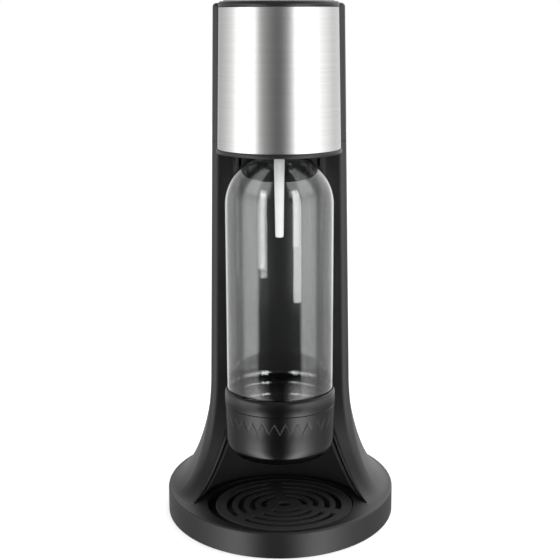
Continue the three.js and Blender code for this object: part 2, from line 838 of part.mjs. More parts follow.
function makeSteelWrap() {
  const outer = drumShape(drumRadiusBottom, steelRearY);
  const inner = drumShape(drumRadiusBottom - steelWall, steelRearY + cutOverrun);
  return drumSolid(outer, steelBottomZ, steelTopZ)
    .subtract(drumSolid(inner, steelBottomZ - cutOverrun, steelTopZ + cutOverrun));
}

function makeDrumRim() {
  const rearY = columnFrontY - seatGap;
  const lip = drumShape(drumRadiusBottom + drumRimLip, rearY);
  const tongueRadius = recessRadius - seatGap - linerWall - slideGap;
  const lipTop = drumRimTopZ;
  const collar = drumShape(drumRadiusBottom - coreInset, rearY);
  const collarRoom = drumShape(drumRadiusBottom - coreInset - drumWall, rearY - drumWall);
  const hole = disc(drumRimHoleRadius, drumRimBottomZ - cutOverrun, lipTop + cutOverrun, fineSteps);
  const top = drumSolid(collar, lipTop - seatGap, seamBottomZ)
    .subtract(drumSolid(collarRoom, lipTop - cutOverrun, seamZ + cutOverrun));
  return joined(
    extruded(lip, drumRimBottomZ, lipTop, drumSteps),
    aboutBottle(disc(tongueRadius, drumRimBottomZ, lipTop, fineSteps)),
  ).subtract(aboutBottle(hole)).add(top);
}

function makeTrimRing() {
  const inner = buttonRadius + slideGap;
  const outer = drumRadiusTop;
  const bottom = steelTopZ + seatGap;
  const edge = (trimRingTopZ - bottom) / 3;
  return lathe([
    [inner, bottom],
    [outer, bottom],
    [outer + trimRingBulge, bottom + edge],
    [outer, trimRingTopZ - edge / 2],
    [outer - edge, trimRingTopZ],
    [inner + edge / 2, trimRingTopZ],
    [inner, trimRingTopZ - edge / 2],
    [inner, bottom],
  ], fineSteps);
}

function makeHeadFrame() {
  const coreRadius = drumRadiusBottom - coreInset;
  const rearY = columnFrontY + columnCornerRadius;
  const plate = joined(
    columnSlice(shellWall + slideGap, frameZ, frameTopZ),
    drumSolid(drumShape(coreRadius - drumWall - slideGap, rearY), frameZ, frameTopZ),
  );
  const sleeveInner = plungerStemRadius + slideGap;
  const sleeve = aboutBottle(
    ring(sleeveInner, sleeveInner + sleeveWall, frameTopZ - seatGap, sleeveTopZ, coarseSteps),
  );
  const blockRoom = blockHalfWidth + slideGap;
  const blockWindow = block(
    -blockRoom, blockRoom,
    cylinderAxisY - blockRoom, cylinderAxisY + blockRoom,
    frameZ - cutOverrun, frameTopZ + cutOverrun,
  );
  const earInner = holderRadius + holderEarGap;
  const earHole = trunnionRadius + trunnionClearance;
  const earHalf = trunnionRadius + holderEarWall / 2;
  const holderEars = [1, -1].map((side) => {
    const [near, far] = [side * earInner, side * (earInner + holderEarWall)].sort((a, b) => a - b);
    const plateEar = block(
      near, far, bottleAxisY - earHalf, bottleAxisY + earHalf, holderPivotZ, frameZ + seatGap,
    );
    return plateEar
      .add(barAlongX(earHalf, near, far, bottleAxisY, holderPivotZ))
      .subtract(barAlongX(
        earHole, near - cutOverrun, far + cutOverrun, bottleAxisY, holderPivotZ, mediumSteps,
      ));
  });
  const leverEarInner = leverWidth / 2 + 2 * slideGap;
  const leverEarHole = leverPinRadius + runningGap;
  const leverEars = [1, -1].map((side) => {
    const reach = leverEarInner + leverEarWall;
    const [near, far] = [side * leverEarInner, side * reach].sort((a, b) => a - b);
    return block(
      near, far,
      leverPivotY - leverBossRadius, leverPivotY + leverBossRadius,
      frameTopZ - seatGap, leverPivotZ,
    )
      .add(barAlongX(leverBossRadius, near, far, leverPivotY, leverPivotZ))
      .subtract(barAlongX(
        leverEarHole, near - cutOverrun, far + cutOverrun, leverPivotY, leverPivotZ, mediumSteps,
      ));
  });
  const holes = [
    aboutBottle(disc(sleeveInner, frameZ - cutOverrun, sleeveTopZ + cutOverrun)),
    screwHole(
      hoseInletX, bottleAxisY + hoseInletY, 2 * hoseRadius, frameZ - cutOverrun, frameTopZ + cutOverrun,
    ),
    ...frameScrewPlaces.map(([x, y]) => {
      return screwHole(x, y, screwShankRadius + seatGap, frameZ - cutOverrun, frameTopZ + cutOverrun);
    }),
    ...[blockScrewX, -blockScrewX].map((x) => {
      const shank = screwShankRadius + seatGap;
      return screwHole(x, cylinderAxisY, shank, frameZ - cutOverrun, frameTopZ + cutOverrun);
    }),
  ];
  return joined(plate, sleeve)
    .subtract(blockWindow)
    .add(joined(...holderEars, ...leverEars))
    .subtract(joined(...holes));
}

// Button

function makeButtonCap() {
  const edge = buttonEdgeRadius;
  const rimZ = buttonTopZ - buttonCrown;
  const skirt = buttonSkirtRadius;
  const arc = quarterArc([buttonRadius, rimZ - edge], [buttonRadius - edge, rimZ], cornerSteps);
  return lathe([
    [skirt - buttonWall, buttonSkirtZ],
    [skirt, buttonSkirtZ],
    [skirt, steelTopZ],
    [buttonRadius, steelTopZ + slideGap],
    ...arc,
    [buttonRadius / 2, buttonTopZ - buttonCrown / 4],
    [0, buttonTopZ],
    [0, buttonTopZ - buttonWall],
    [skirt - 1.5 * buttonWall, rimZ - buttonWall],
    [skirt - buttonWall, rimZ - 2 * buttonWall],
    [skirt - buttonWall, buttonSkirtZ],
  ], fineSteps);
}

function makeButtonPlunger() {
  const plate = disc(plungerRadius, plungerZ, plungerTopZ, mediumSteps);
  const stem = disc(plungerStemRadius, plungerStemZ, plungerZ + seatGap);
  const legY = leverNoseY - bottleAxisY;
  const leg = block(
    -plungerLegWidth / 2, plungerLegWidth / 2,
    legY - plungerLegDepth / 2, legY + plungerLegDepth / 2,
    leverNoseTopZ + seatGap, plungerZ + seatGap,
  );
  return joined(plate, stem, leg);
}

class Helix extends THREE.Curve {
  constructor(radius, z0, z1, turns) {
    super();
    Object.assign(this, { radius, z0, z1, turns });
  }
  getPoint(share, target = new THREE.Vector3()) {
    const angle = 2 * Math.PI * this.turns * share;
    const z = THREE.MathUtils.lerp(this.z0, this.z1, share);
    return target.set(this.radius * Math.cos(angle), this.radius * Math.sin(angle), z);
  }
}

function roundSection(radius, sides) {
  const shape = new THREE.Shape();
  for (let i = 0; i < sides; i++) {
    const angle = (2 * Math.PI * i) / sides;
    const point = [radius * Math.cos(angle), radius * Math.sin(angle)];
    if (i === 0) {
      shape.moveTo(...point);
    } else {
      shape.lineTo(...point);
    }
  }
  shape.closePath();
  return shape;
}

function makeButtonSpring() {
  const low = sleeveTopZ + seatGap + springWire;
  const high = plungerZ - seatGap - springWire;
  const helix = new Helix(springRadius, low, high, springTurns);
  const options = { steps: smallSteps * springTurns, extrudePath: helix, bevelEnabled: false };
  return solidOf(new THREE.ExtrudeGeometry(roundSection(springWire, 5), options));
}

// Valve, lever and gas line

function makeValveLever() {
  const nose = barAlongX(
    leverNoseRadius, -leverWidth / 2, leverWidth / 2, leverNoseY, leverNoseTopZ - leverNoseRadius,
  );
  const arm = block(
    -leverWidth / 2, leverWidth / 2, leverNoseY, leverPivotY,
    leverPivotZ - leverDepth / 2, leverTopZ,
  );
  const boss = barAlongX(leverBossRadius, -leverWidth / 2, leverWidth / 2, leverPivotY, leverPivotZ);
  const length = leverPivotY - leverNoseY;
  const slot = block(
    -leverWidth / 6, leverWidth / 6,
    leverNoseY + length / 6, cylinderAxisY - valvePinHeadRadius - leverWidth / 4,
    leverPivotZ - leverDepth, leverTopZ + leverDepth,
  );
  const bore = barAlongX(
    leverPinRadius + runningGap, -leverWidth, leverWidth, leverPivotY, leverPivotZ, mediumSteps,
  );
  return joined(nose, arm, boss).subtract(slot).subtract(bore);
}

function makeLeverPin() {
  const reach = leverWidth / 2 + 2 * slideGap + leverEarWall + slideGap;
  return barAlongX(leverPinRadius, -reach, reach, leverPivotY, leverPivotZ);
}

function roundedSquare(half, corner) {
  const shape = new THREE.Shape();
  const flat = half - corner;
  shape.absarc(flat, flat, corner, 0, Math.PI / 2, false);
  shape.absarc(-flat, flat, corner, Math.PI / 2, Math.PI, false);
  shape.absarc(-flat, -flat, corner, Math.PI, 1.5 * Math.PI, false);
  shape.absarc(flat, -flat, corner, 1.5 * Math.PI, 2 * Math.PI, false);
  shape.closePath();
  return shape;
}

function makeValveBlock() {
  const flangeZ = frameTopZ + seatGap;
  const flange = block(
    -blockHalfWidth - blockFlange, blockHalfWidth + blockFlange,
    -blockHalfWidth / 2, blockHalfWidth / 2,
    flangeZ, flangeZ + blockFlangeThickness,
  );
  const port = barAlongY(
    portRadius, -blockHalfWidth - portLength, 0, hoseInletX - portRadius / 2, portZ,
  );
  const cuts = [
    disc(valveThreadRadius + slideGap, blockBottomZ - cutOverrun, socketTopZ, mediumSteps),
    disc(valvePinRadius + slideGap, socketTopZ - cutOverrun, blockTopZ + cutOverrun),
    barAlongX(
      reliefStubRadius + seatGap, -blockHalfWidth - cutOverrun, -blockHalfWidth + reliefStubLength + seatGap,
      0, portZ + portRadius,
    ),
    ...[blockScrewX, -blockScrewX].map((x) => {
      const shank = screwShankRadius + seatGap;
      return screwHole(x, 0, shank, flangeZ - cutOverrun, flangeZ + blockFlangeThickness + cutOverrun);
    }),
  ];
  return joined(
    extruded(roundedSquare(blockHalfWidth, blockCorner), blockBottomZ, blockTopZ, cornerSteps),
    flange,
    port,
  ).subtract(joined(...cuts));
}

function makeValvePin() {
  const bottom = valveTopZ - valveRecessDepth / 2;
  return lathe([
    [0, bottom],
    [valvePinRadius, bottom],
    [valvePinRadius, pinHeadZ],
    [valvePinHeadRadius, pinHeadZ],
    [valvePinHeadRadius, pinHeadZ + valvePinHeadHeight / 2],
    [valvePinHeadRadius / 2, pinHeadTopZ],
    [0, pinHeadTopZ],
  ], coarseSteps);
}

function makeReliefValve() {
  const z = portZ + portRadius;
  const seat = -blockHalfWidth - seatGap;
  const body = barAlongX(reliefRadius, seat - reliefLength, seat, 0, z, 6);
  const stub = barAlongX(reliefStubRadius, seat - seatGap, seat + reliefStubLength, 0, z, 12);
  return joined(body, stub);
}

// The hose's route, as shares of the way from the holder's inlet to the block's port
const hoseRouteShares = [
  [0, 0, 0], [0, 0, 0.45], [0, 0.12, 0.9], [1, 0.45, 1], [1, 0.85, 1], [1, 1, 1],
];

function makeGasHose() {
  const inletY = bottleAxisY + hoseInletY;
  const inletZ = holderTopZ + hoseInletHeight + seatGap;
  const portX = hoseInletX - portRadius / 2;
  const portY = cylinderAxisY - blockHalfWidth - portLength - seatGap;
  const inlet = new THREE.Vector3(hoseInletX, inletY, inletZ);
  const step = new THREE.Vector3(portX, portY, portZ).sub(inlet);
  const route = new THREE.CatmullRomCurve3(hoseRouteShares.map((shares) => {
    return new THREE.Vector3(...shares).multiply(step).add(inlet);
  }));
  const options = { steps: coarseSteps, extrudePath: route, bevelEnabled: false };
  return solidOf(new THREE.ExtrudeGeometry(roundSection(hoseRadius, smallSteps), options));
}

// Gas cylinder and its valve, about the cylinder's axis

function makeGasCylinder() {
  const wall = cylinderWall;
  const corner = 2 * wall;
  const bore = valveStubRadius + seatGap;
  const outerShoulder = quarterArc(
    [cylinderRadius, cylinderShoulderZ], [cylinderNeckRadius, cylinderNeckZ], shoulderSteps,
  );
  const innerShoulder = quarterArc(
    [cylinderRadius - wall, cylinderShoulderZ], [bore, cylinderNeckZ - wall], shoulderSteps,
  );
  return lathe([
    [0, cylinderBottomZ],
    [cylinderRadius - corner, cylinderBottomZ],
    [cylinderRadius - corner / 4, cylinderBottomZ + corner / 4],
    [cylinderRadius, cylinderBottomZ + corner],
    ...outerShoulder,
    [cylinderNeckRadius, cylinderTopZ],
    [bore, cylinderTopZ],
    ...innerShoulder.reverse(),
    [cylinderRadius - wall, cylinderBottomZ + corner],
    [cylinderRadius - corner, cylinderBottomZ + wall],
    [0, cylinderBottomZ + wall],
  ], mediumSteps);
}

function makeCylinderValve() {
  const hexZ = cylinderTopZ + seatGap;
  const threadZ = hexZ + valveHexHeight;
  const stem = lathe([
    [0, cylinderNeckZ - cylinderWall],
    [valveStubRadius, cylinderNeckZ - cylinderWall],
    [valveStubRadius, threadZ],
    [valveThreadRadius, threadZ],
    [valveThreadRadius, valveTopZ - seatGap],
    [valveThreadRadius - seatGap, valveTopZ],
    [valveRecessRadius, valveTopZ],
    [valveRecessRadius, valveTopZ - valveRecessDepth],
    [0, valveTopZ - valveRecessDepth],
  ], mediumSteps);
  return stem.add(disc(valveHexRadius, hexZ, threadZ, 6));
}

// Bottle, its cup, and the holder they hang in, about the bottle's axis

function bottleOutside() {
  const shoulder = quarterArc([bottleRadius, bottleShoulderZ], [0, bottleNeckZ], quarterSteps);
  const slope = shoulder.filter(([radius]) => radius > 1.6 * bottleNeckRadius);
  const foot = quarterArc(
    [bottleFootRadius, bottleFootZ + bottleFootCorner],
    [bottleFootRadius - bottleFootCorner, bottleFootZ],
    shoulderSteps,
  );
  return { slope, foot };
}

function makeBottle() {
  const { slope, foot } = bottleOutside();
  const neckInner = bottleNeckRadius - bottleNeckWall;
  const stepZ = cupRimZ + seatGap;
  const inward = ([radius, z]) => [radius - bottleWall, z];
  const innerFoot = quarterArc(
    [bottleFootRadius - bottleWall, bottleFootZ + bottleFootCorner],
    [bottleFootRadius - bottleFootCorner, bottleFootZ + bottleWall],
    shoulderSteps,
  );
  return lathe([
    [0, bottleFootZ + bottleFootPush],
    [bottleFootRadius - 2 * bottleFootCorner, bottleFootZ + bottleFootPush],
    ...foot.reverse(),
    [bottleFootRadius, stepZ],
    [bottleRadius, stepZ + bottleWall],
    ...slope,
    [bottleNeckRadius, bottleNeckZ],
    [bottleNeckRadius, bottleBeadZ],
    [bottleBeadRadius, bottleBeadZ],
    [bottleBeadRadius, bottleBeadZ + bottleBeadHeight],
    [bottleNeckRadius, bottleBeadZ + bottleBeadHeight],
    [bottleNeckRadius, bottleMouthZ],
    [neckInner, bottleMouthZ],
    [neckInner, bottleNeckZ - bottleWall / 2],
    ...slope.map(inward).reverse(),
    [bottleRadius - bottleWall, stepZ + 2 * bottleWall],
    [bottleFootRadius - bottleWall, stepZ + bottleWall / 2],
    ...innerFoot,
    [bottleFootRadius - 2 * bottleFootCorner, bottleFootZ + bottleFootPush + bottleWall],
    [0, bottleFootZ + bottleFootPush + bottleWall],
  ], bottleSteps);
}

function makeBottleCup() {
  const corner = quarterArc(
    [cupRadius, cupBottomZ + cupCorner], [cupRadius - cupCorner, cupBottomZ], shoulderSteps,
  );
  const bandZ = cupRimZ - cupBandHeight;
  const soft = cupBandRadius - cupRadius;
  const inner = bottleFootRadius + seatGap;
  const innerFoot = quarterArc(
    [inner, bottleFootZ + bottleFootCorner],
    [inner - bottleFootCorner, bottleFootZ - seatGap],
    shoulderSteps,
  );
  return lathe([
    [0, cupBottomZ],
    ...corner.reverse(),
    [cupRadius, bandZ - cupBandEase],
    [cupBandRadius, bandZ],
    [cupBandRadius, bandZ + cupBandEase],
    [cupRadius, cupRimZ - soft / 2],
    [inner + soft / 2, cupRimZ],
    [inner, cupRimZ - soft / 2],
    ...innerFoot,
    [0, bottleFootZ - seatGap],
  ], bottleSteps);
}

function makeBottleHolder() {
  const topPlateZ = holderPivotZ;
  const body = lathe([
    [holderBore, holderBottomZ],
    [holderRadius - holderEdge, holderBottomZ],
    [holderRadius, holderBottomZ + holderEdge],
    [holderRadius, holderTopZ - holderEdge],
    [holderRadius - holderEdge, holderTopZ],
    [nozzleRadius + slideGap, holderTopZ],
    [nozzleRadius + slideGap, topPlateZ],
    [holderBore, topPlateZ],
    [holderBore, holderBottomZ],
  ], mediumSteps);
  const earInner = holderRadius + holderEarGap;
  const reach = earInner + holderEarWall - seatGap;
  const start = holderRadius - (holderRadius - holderBore) / 2;
  const trunnions = [[-reach, -start], [start, reach]].map(([x0, x1]) => {
    return barAlongX(trunnionRadius, x0, x1, 0, holderPivotZ);
  });
  const shoulders = [[-earInner + seatGap, -start], [start, earInner - seatGap]].map(([x0, x1]) => {
    return barAlongX(1.5 * trunnionRadius, x0, x1, 0, holderPivotZ);
  });
  const inlet = disc(hoseInletRadius, holderTopZ - seatGap, holderTopZ + hoseInletHeight)
    .translate(hoseInletX, hoseInletY, 0);
  return joined(body, ...trunnions, ...shoulders, inlet);
}

function makeBottleGasket() {
  const inner = nozzleRadius + 3 * slideGap;
  return ring(inner, gasketRadius, bottleMouthZ + seatGap, holderPivotZ - seatGap, coarseSteps);
}

function makeNozzle() {
  const headZ = holderTopZ + seatGap;
  const round = nozzleTipRadius / 3;
  const body = lathe([
    [nozzleBore, nozzleTipZ],
    [nozzleTipRadius - round, nozzleTipZ],
    [nozzleTipRadius, nozzleTipZ + round],
    [nozzleRadius, bottleNeckZ],
    [nozzleRadius, headZ],
    [nozzleHeadRadius, headZ],
    [nozzleHeadRadius, headZ + nozzleHeadHeight],
    [nozzleBore, headZ + nozzleHeadHeight],
    [nozzleBore, nozzleTipZ],
  ], coarseSteps);
  return body;
}

// The whole part, in nested groups that stand on their own axes
function piece(name, solid, material, parent) {
  const mesh = new THREE.Mesh(geometryOf(solid), material);
  mesh.name = name;
  parent.add(mesh);
  return mesh;
}

const waterMaker = new THREE.Group();
const stand = new THREE.Group();
const head = new THREE.Group();
const bottleAxis = new THREE.Group();
const cylinderAxis = new THREE.Group();
const trayAxis = new THREE.Group();
bottleAxis.position.set(0, bottleAxisY, 0);
cylinderAxis.position.set(0, cylinderAxisY, 0);
trayAxis.position.set(trayShiftX, bottleAxisY, 0);
waterMaker.add(stand, head, bottleAxis, cylinderAxis, trayAxis);

piece("main_body", makeMainBody(), blackShell, stand);
piece("recess_liner", makeRecessLiner(), blackInner, stand);
piece("rear_cover", makeRearCover(), blackShell, stand);
piece("base_plate", makeBasePlate(), blackInner, stand);
footPlaces.forEach(([x, y], i) => {
  piece(`rubber_foot_${i + 1}`, makeRubberFoot(), rubber, stand).position.set(x, y, 0);
});
baseScrewPlaces.forEach(([x, y], i) => {
  const screw = piece(`base_screw_${i + 1}`, makeScrew(screwLength), zincSteel, stand);
  screw.position.set(x, y, basePlateZ - seatGap);
});

piece("drip_tray", makeDripTray(), blackInner, trayAxis);
piece("drip_grille", makeDripGrille(), blackInner, trayAxis);

piece("upper_housing", makeUpperHousing(), blackShell, head);
piece("steel_wrap", makeSteelWrap(), brushedSteel, head);
piece("drum_rim", makeDrumRim(), blackShell, head);
piece("head_frame", makeHeadFrame(), greyPlastic, head);
frameScrewPlaces.forEach(([x, y], i) => {
  const screw = piece(`frame_screw_${i + 1}`, makeScrew(frameScrewLength), zincSteel, head);
  screw.rotation.x = Math.PI;
  screw.position.set(x, y, frameTopZ + seatGap);
});
piece("valve_lever", makeValveLever(), zincSteel, head);
piece("lever_pin", makeLeverPin(), zincSteel, head);
piece("gas_hose", makeGasHose(), whitePlastic, head);

piece("trim_ring", makeTrimRing(), blackShell, bottleAxis);
piece("button_cap", makeButtonCap(), greyButton, bottleAxis);
piece("button_plunger", makeButtonPlunger(), greyPlastic, bottleAxis);
piece("button_spring", makeButtonSpring(), zincSteel, bottleAxis);
piece("bottle_holder", makeBottleHolder(), greyPlastic, bottleAxis);
piece("bottle_gasket", makeBottleGasket(), rubber, bottleAxis);
piece("nozzle", makeNozzle(), whitePlastic, bottleAxis);
piece("bottle", makeBottle(), clearPlastic, bottleAxis);
piece("bottle_cup", makeBottleCup(), blackCup, bottleAxis);

piece("cylinder_pad", makeCylinderPad(), rubber, cylinderAxis);
piece("gas_cylinder", makeGasCylinder(), paintedSteel, cylinderAxis);
piece("cylinder_valve", makeCylinderValve(), brass, cylinderAxis);
piece("valve_block", makeValveBlock(), brass, cylinderAxis);
piece("valve_pin", makeValvePin(), zincSteel, cylinderAxis);
piece("relief_valve", makeReliefValve(), redPlastic, cylinderAxis);
[blockScrewX, -blockScrewX].forEach((x, i) => {
  const screw = piece(`block_screw_${i + 1}`, makeScrew(frameScrewLength), zincSteel, cylinderAxis);
  screw.rotation.x = Math.PI;
  screw.position.set(x, 0, frameTopZ + 2 * seatGap + blockFlangeThickness);
});

export default waterMaker;
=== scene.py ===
"""Looks of the sparkling water maker: smooth pieces, materials, floor, light and camera."""

import json
import math

import bmesh
import bpy
from mathutils import Euler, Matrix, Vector


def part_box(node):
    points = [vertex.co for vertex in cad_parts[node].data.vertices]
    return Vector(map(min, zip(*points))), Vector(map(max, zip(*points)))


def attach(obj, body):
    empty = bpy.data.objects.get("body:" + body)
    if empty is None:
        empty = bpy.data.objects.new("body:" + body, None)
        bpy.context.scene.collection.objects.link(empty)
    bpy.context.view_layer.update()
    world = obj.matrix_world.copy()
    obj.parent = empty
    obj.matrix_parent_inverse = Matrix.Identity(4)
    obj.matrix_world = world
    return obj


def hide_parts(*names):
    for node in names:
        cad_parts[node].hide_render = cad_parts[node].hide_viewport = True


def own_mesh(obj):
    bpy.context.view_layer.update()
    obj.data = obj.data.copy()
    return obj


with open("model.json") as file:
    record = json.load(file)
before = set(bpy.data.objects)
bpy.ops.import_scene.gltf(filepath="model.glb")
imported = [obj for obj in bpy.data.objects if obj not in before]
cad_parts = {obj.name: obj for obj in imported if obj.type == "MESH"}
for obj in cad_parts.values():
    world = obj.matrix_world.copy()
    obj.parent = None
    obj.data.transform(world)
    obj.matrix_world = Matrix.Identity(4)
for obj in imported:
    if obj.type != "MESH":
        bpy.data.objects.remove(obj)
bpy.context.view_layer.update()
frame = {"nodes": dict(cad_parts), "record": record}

MM = 0.001

# Sizes in millimetres, the solids' own where both have them. Names with x, y or z are places.
# Overrun is how far a cutting body reaches past what it cuts, and sliver the least it may.
seat_gap = 0.3
slide_gap = 0.4
overrun = 2.0
sliver = 0.01
# Where the middle of a two-step rounding lies, as a share of the edge's width
edge_middle = 0.3
far_side = 200.0
far_top_z = 500.0

# Foot, column and the flare between them
shell_wall = 2.8
foot_half_width = 96.0
foot_half_length = 117.0
disc_bottom_z = 0.4
disc_top_z = 21.5
disc_edge_radius = 1.5
flare_front_half_length = 94.0
flare_power = 1.8
flare_top_z = 120.0
flare_root = 4.0
column_front_y = -19.0
column_rear_y = 27.0
column_corner = 7.0
side_at_flare = 57.8
side_at_top = 52.4
seam_z = 315.4
stand_top_z = seam_z - seat_gap / 2
head_bottom_z = seam_z + seat_gap / 2
cylinder_y = 45.5
bay_hole_radius = 32.6
cover_half_width = 40.0
cover_bottom_z = 34.0
cover_front_y = 26.0

# Recess of the bottle, its lining, and the tray's well in the foot
bottle_y = -52.0
recess_radius = 48.6
recess_foot_radius = 72.5
recess_foot_rear_radius = 65.0
recess_flare_top_z = 126.0
recess_rear_share = (recess_foot_rear_radius - recess_radius) / (recess_foot_radius - recess_radius)
recess_edge_reach = 2.2
liner_wall = 2.5
liner_set_back = 4.2
well_radius = 60.0
well_floor_z = 9.8
well_floor_wall = 2.6
well_wall = 2.4

# Tray and grille
tray_x = 3.0
tray_radius = 55.8
tray_wall = 1.8
tray_floor_z = 10.1
tray_rim_z = 17.3
tray_edge = 0.4
tray_bend = 0.5
tray_bend_side = 0.6
grille_radius = 56.3
grille_z = 17.6
grille_plate = 2.2
grille_skirt_radius = 53.9
grille_skirt_wall = 1.6
grille_skirt_height = 2.4
# Its lip, from the edge inwards: how far in and how far above the plate
grille_lip = ((0, 0), (0.4, 0.45), (0.9, 0.6), (1.6, 0.6), (2.1, 0.45), (2.5, 0))
slot_rows = 4
slot_pitch = 9.4
slot_outer_radius = 47.3
slot_width = 4.6
slot_edge = 0.5
spoke_count = 3
spoke_half_width = 4.5
spoke_turn = math.radians(9)
hub_hole_radius = 4.8

# Head with its drum
head_top_z = 424.0
head_edge = 3.0
drum_radius_bottom = 48.0
drum_radius_top = 45.8
drum_wall = 1.6
core_inset = 1.1
steel_bottom_z = 313.1
steel_top_z = 420.2
steel_wall = 0.8
steel_edge = 0.25
steel_rear_y = -38.0
drum_rim_bottom_z = 309.8
drum_rim_top_z = 312.8
drum_rim_lip = 0.9
drum_rim_edge = 0.8
drum_rim_break = 0.3
drum_rim_break_rise = 0.25
drum_rim_disc = 45.4
drum_rim_hole = 40.0
trim_seat_radius = 46.6
trim_rise = 0.6
# Its rounded edges, how far out and how far up: the bead from its outer corner at the bottom,
# the others from its outer and inner corners at the top
trim_bead = ((0.4, 1.3), (0.4, 1.8))
trim_round = ((0.2, -1.2), (-0.3, -0.5), (-1.2, 0))
trim_inner_round = ((0.7, 0), (0.2, -0.2), (0, -0.7))

# Button and its spring
button_hole = 42.6
button_collar_wall = 1.3
button_radius = 42.2
button_skirt_radius = 41.4
button_wall = 2.4
button_low_z = 414.3
button_top_z = 428.0
button_dome = 1.0
button_edge = 1.8
spring_radius = 8.3
spring_wire_radius = 0.8
spring_turns = 5

# Bottle
bottle_radius = 42.9
bottle_low_radius = 41.6
bottle_bottom_z = 68.3
bottle_corner = 13.0
bottle_punt = ((0, 77.3), (12, 76.5), (20, 73.5), (25, 69.5))
bottle_ring_z = (101.7, 111.7)
bottle_ring = ((0, -1.4), (0.1, -1.0), (0.55, 0), (0.1, 1.0), (0, 1.4))
# Radius and height where the lower wall grows out to the full width, and up the neck
bottle_widening = ((bottle_low_radius, 118.4), (41.75, 119.4), (42.05, 120.2), (42.45, 121.0),
                   (42.78, 121.8))
bottle_wall_z = (123.0, 150.0, 200.0, 240.0)
bottle_shoulder_z = 269.0
bottle_shoulder_rise = 42.5
bottle_shoulder_turn = math.radians(62)
bottle_neck_radius = 14.0
bottle_neck = ((17.4, 308.3), (15.0, 311.0), (14.1, 314.0), (bottle_neck_radius, 318.5))
bottle_collar = ((bottle_neck_radius, 319.0), (14.8, 319.3), (14.8, 321.1),
                 (bottle_neck_radius, 321.4))
bottle_mouth_z = 334.3
bottle_mouth_edge = 0.4
bottle_bore_radius = 11.2
bottle_bore_z = 316.0
bottle_wall_end_z = 312.0
bottle_wall = 1.3

# Cup on the bottle's foot
cup_radius = 43.6
cup_low_radius = 43.4
cup_bottom_z = 65.0
cup_corner = 14.0
cup_bore_radius = 41.9
# Radius and height under its foot, up to the teeth, and from above them over the lip to the bore
cup_underside = ((0, 66.5), (26.0, 66.5), (28.2, 65.2))
cup_wall = ((43.5, 84.0), (cup_radius, 88.0), (cup_radius, 91.0))
cup_groove = ((44.15, 106.3), (44.2, 107.5), (43.8, 107.9), (43.8, 108.3), (44.5, 108.5))
cup_band = ((44.55, 109.0), (44.55, 113.0), (44.5, 116.6), (44.3, 118.2), (44.0, 119.2))
cup_lip = ((43.6, 119.9), (43.1, 120.4), (42.6, 120.5), (42.2, 120.3), (cup_bore_radius, 119.7))
cup_floor_z = 68.0
cup_bore_corner = 13.0
cup_slope_z = 93.5
cup_slope = 0.045
teeth_count = 30
teeth_low_z = 94.3
teeth_high_z = 102.5
# The step at the teeth's edge: how deep it is at a height from that edge
teeth_step = ((0.0, -1.4), (0.0, -0.9), (0.22, -0.05), (0.22, 0.05), (0.08, 0.9), (0.08, 1.4))

# Nozzle
nozzle_hole = 1.2
nozzle_tip_z = 243.0
# Its rounded tip: radius and how far above its end
nozzle_tip = ((nozzle_hole, 0), (2.2, 0), (2.8, 0.25), (3.15, 0.8), (3.25, 1.5))
nozzle_radius = 4.35
nozzle_taper_z = 313.5
nozzle_flange_radius = 8.0
nozzle_flange_z = 345.3
nozzle_top_z = 348.0


# Meshes and booleans
def mesh_object(points, faces):
    mesh = bpy.data.meshes.new("part")
    mesh.from_pydata([(x * MM, y * MM, z * MM) for x, y, z in points], [], faces)
    bm = bmesh.new()
    bm.from_mesh(mesh)
    bmesh.ops.remove_doubles(bm, verts=bm.verts, dist=1e-7)
    bmesh.ops.recalc_face_normals(bm, faces=bm.faces)
    bm.to_mesh(mesh)
    bm.free()
    piece = bpy.data.objects.new("part", mesh)
    bpy.context.scene.collection.objects.link(piece)
    return piece


def combine(target, others, operation):
    for other in others:
        modifier = target.modifiers.new("combine", "BOOLEAN")
        modifier.operation = operation
        modifier.solver = "MANIFOLD"
        modifier.object = other
        bpy.context.view_layer.update()
        depsgraph = bpy.context.evaluated_depsgraph_get()
        result = bpy.data.meshes.new_from_object(target.evaluated_get(depsgraph))
        target.modifiers.clear()
        old = target.data
        target.data = result
        bpy.data.meshes.remove(old)
        bpy.data.objects.remove(other)
    return target


def cut(target, *others):
    return combine(target, others, "DIFFERENCE")


def join(target, *others):
    return combine(target, others, "UNION")


def keep_within(target, *others):
    return combine(target, others, "INTERSECT")


# A closed skin through rings that have equally many points
def skin(rings):
    count = len(rings[0])
    points = [point for ring in rings for point in ring]
    last = len(points) - count
    faces = []
    for low in range(0, last, count):
        for i in range(count):
            a = low + i
            b = low + (i + 1) % count
            faces.append((a, b, b + count, a + count))
    faces.append(tuple(reversed(range(count))))
    faces.append(tuple(range(last, len(points))))
    return mesh_object(points, faces)


# The same through level outlines, each given with its height
def loft(sections):
    return skin([[(x, y, z) for x, y in outline] for z, outline in sections])


def lathe(profile, steps=128, x=0.0, y=bottle_y):
    points = []
    rings = []
    for radius, z in profile:
        if radius == 0:
            rings.append([len(points)])
            points.append((x, y, z))
        else:
            rings.append([len(points) + i for i in range(steps)])
            for i in range(steps):
                angle = 2 * math.pi * i / steps
                points.append((x + radius * math.cos(angle), y + radius * math.sin(angle), z))
    faces = []
    for low, high in zip(rings, rings[1:]):
        for i in range(steps):
            quad = [low[i % len(low)], low[(i + 1) % len(low)]]
            quad += [high[(i + 1) % len(high)], high[i % len(high)]]
            face = list(dict.fromkeys(quad))
            if len(face) > 2:
                faces.append(tuple(face))
    return mesh_object(points, faces)


def disc(radius, z0, z1, y=bottle_y):
    return lathe([(0, z0), (radius, z0), (radius, z1), (0, z1)], y=y)


def block(half_width, y0, y1, z0, z1):
    outline = [(-half_width, y0), (half_width, y0), (half_width, y1), (-half_width, y1)]
    return loft([(z0, outline), (z1, outline)])


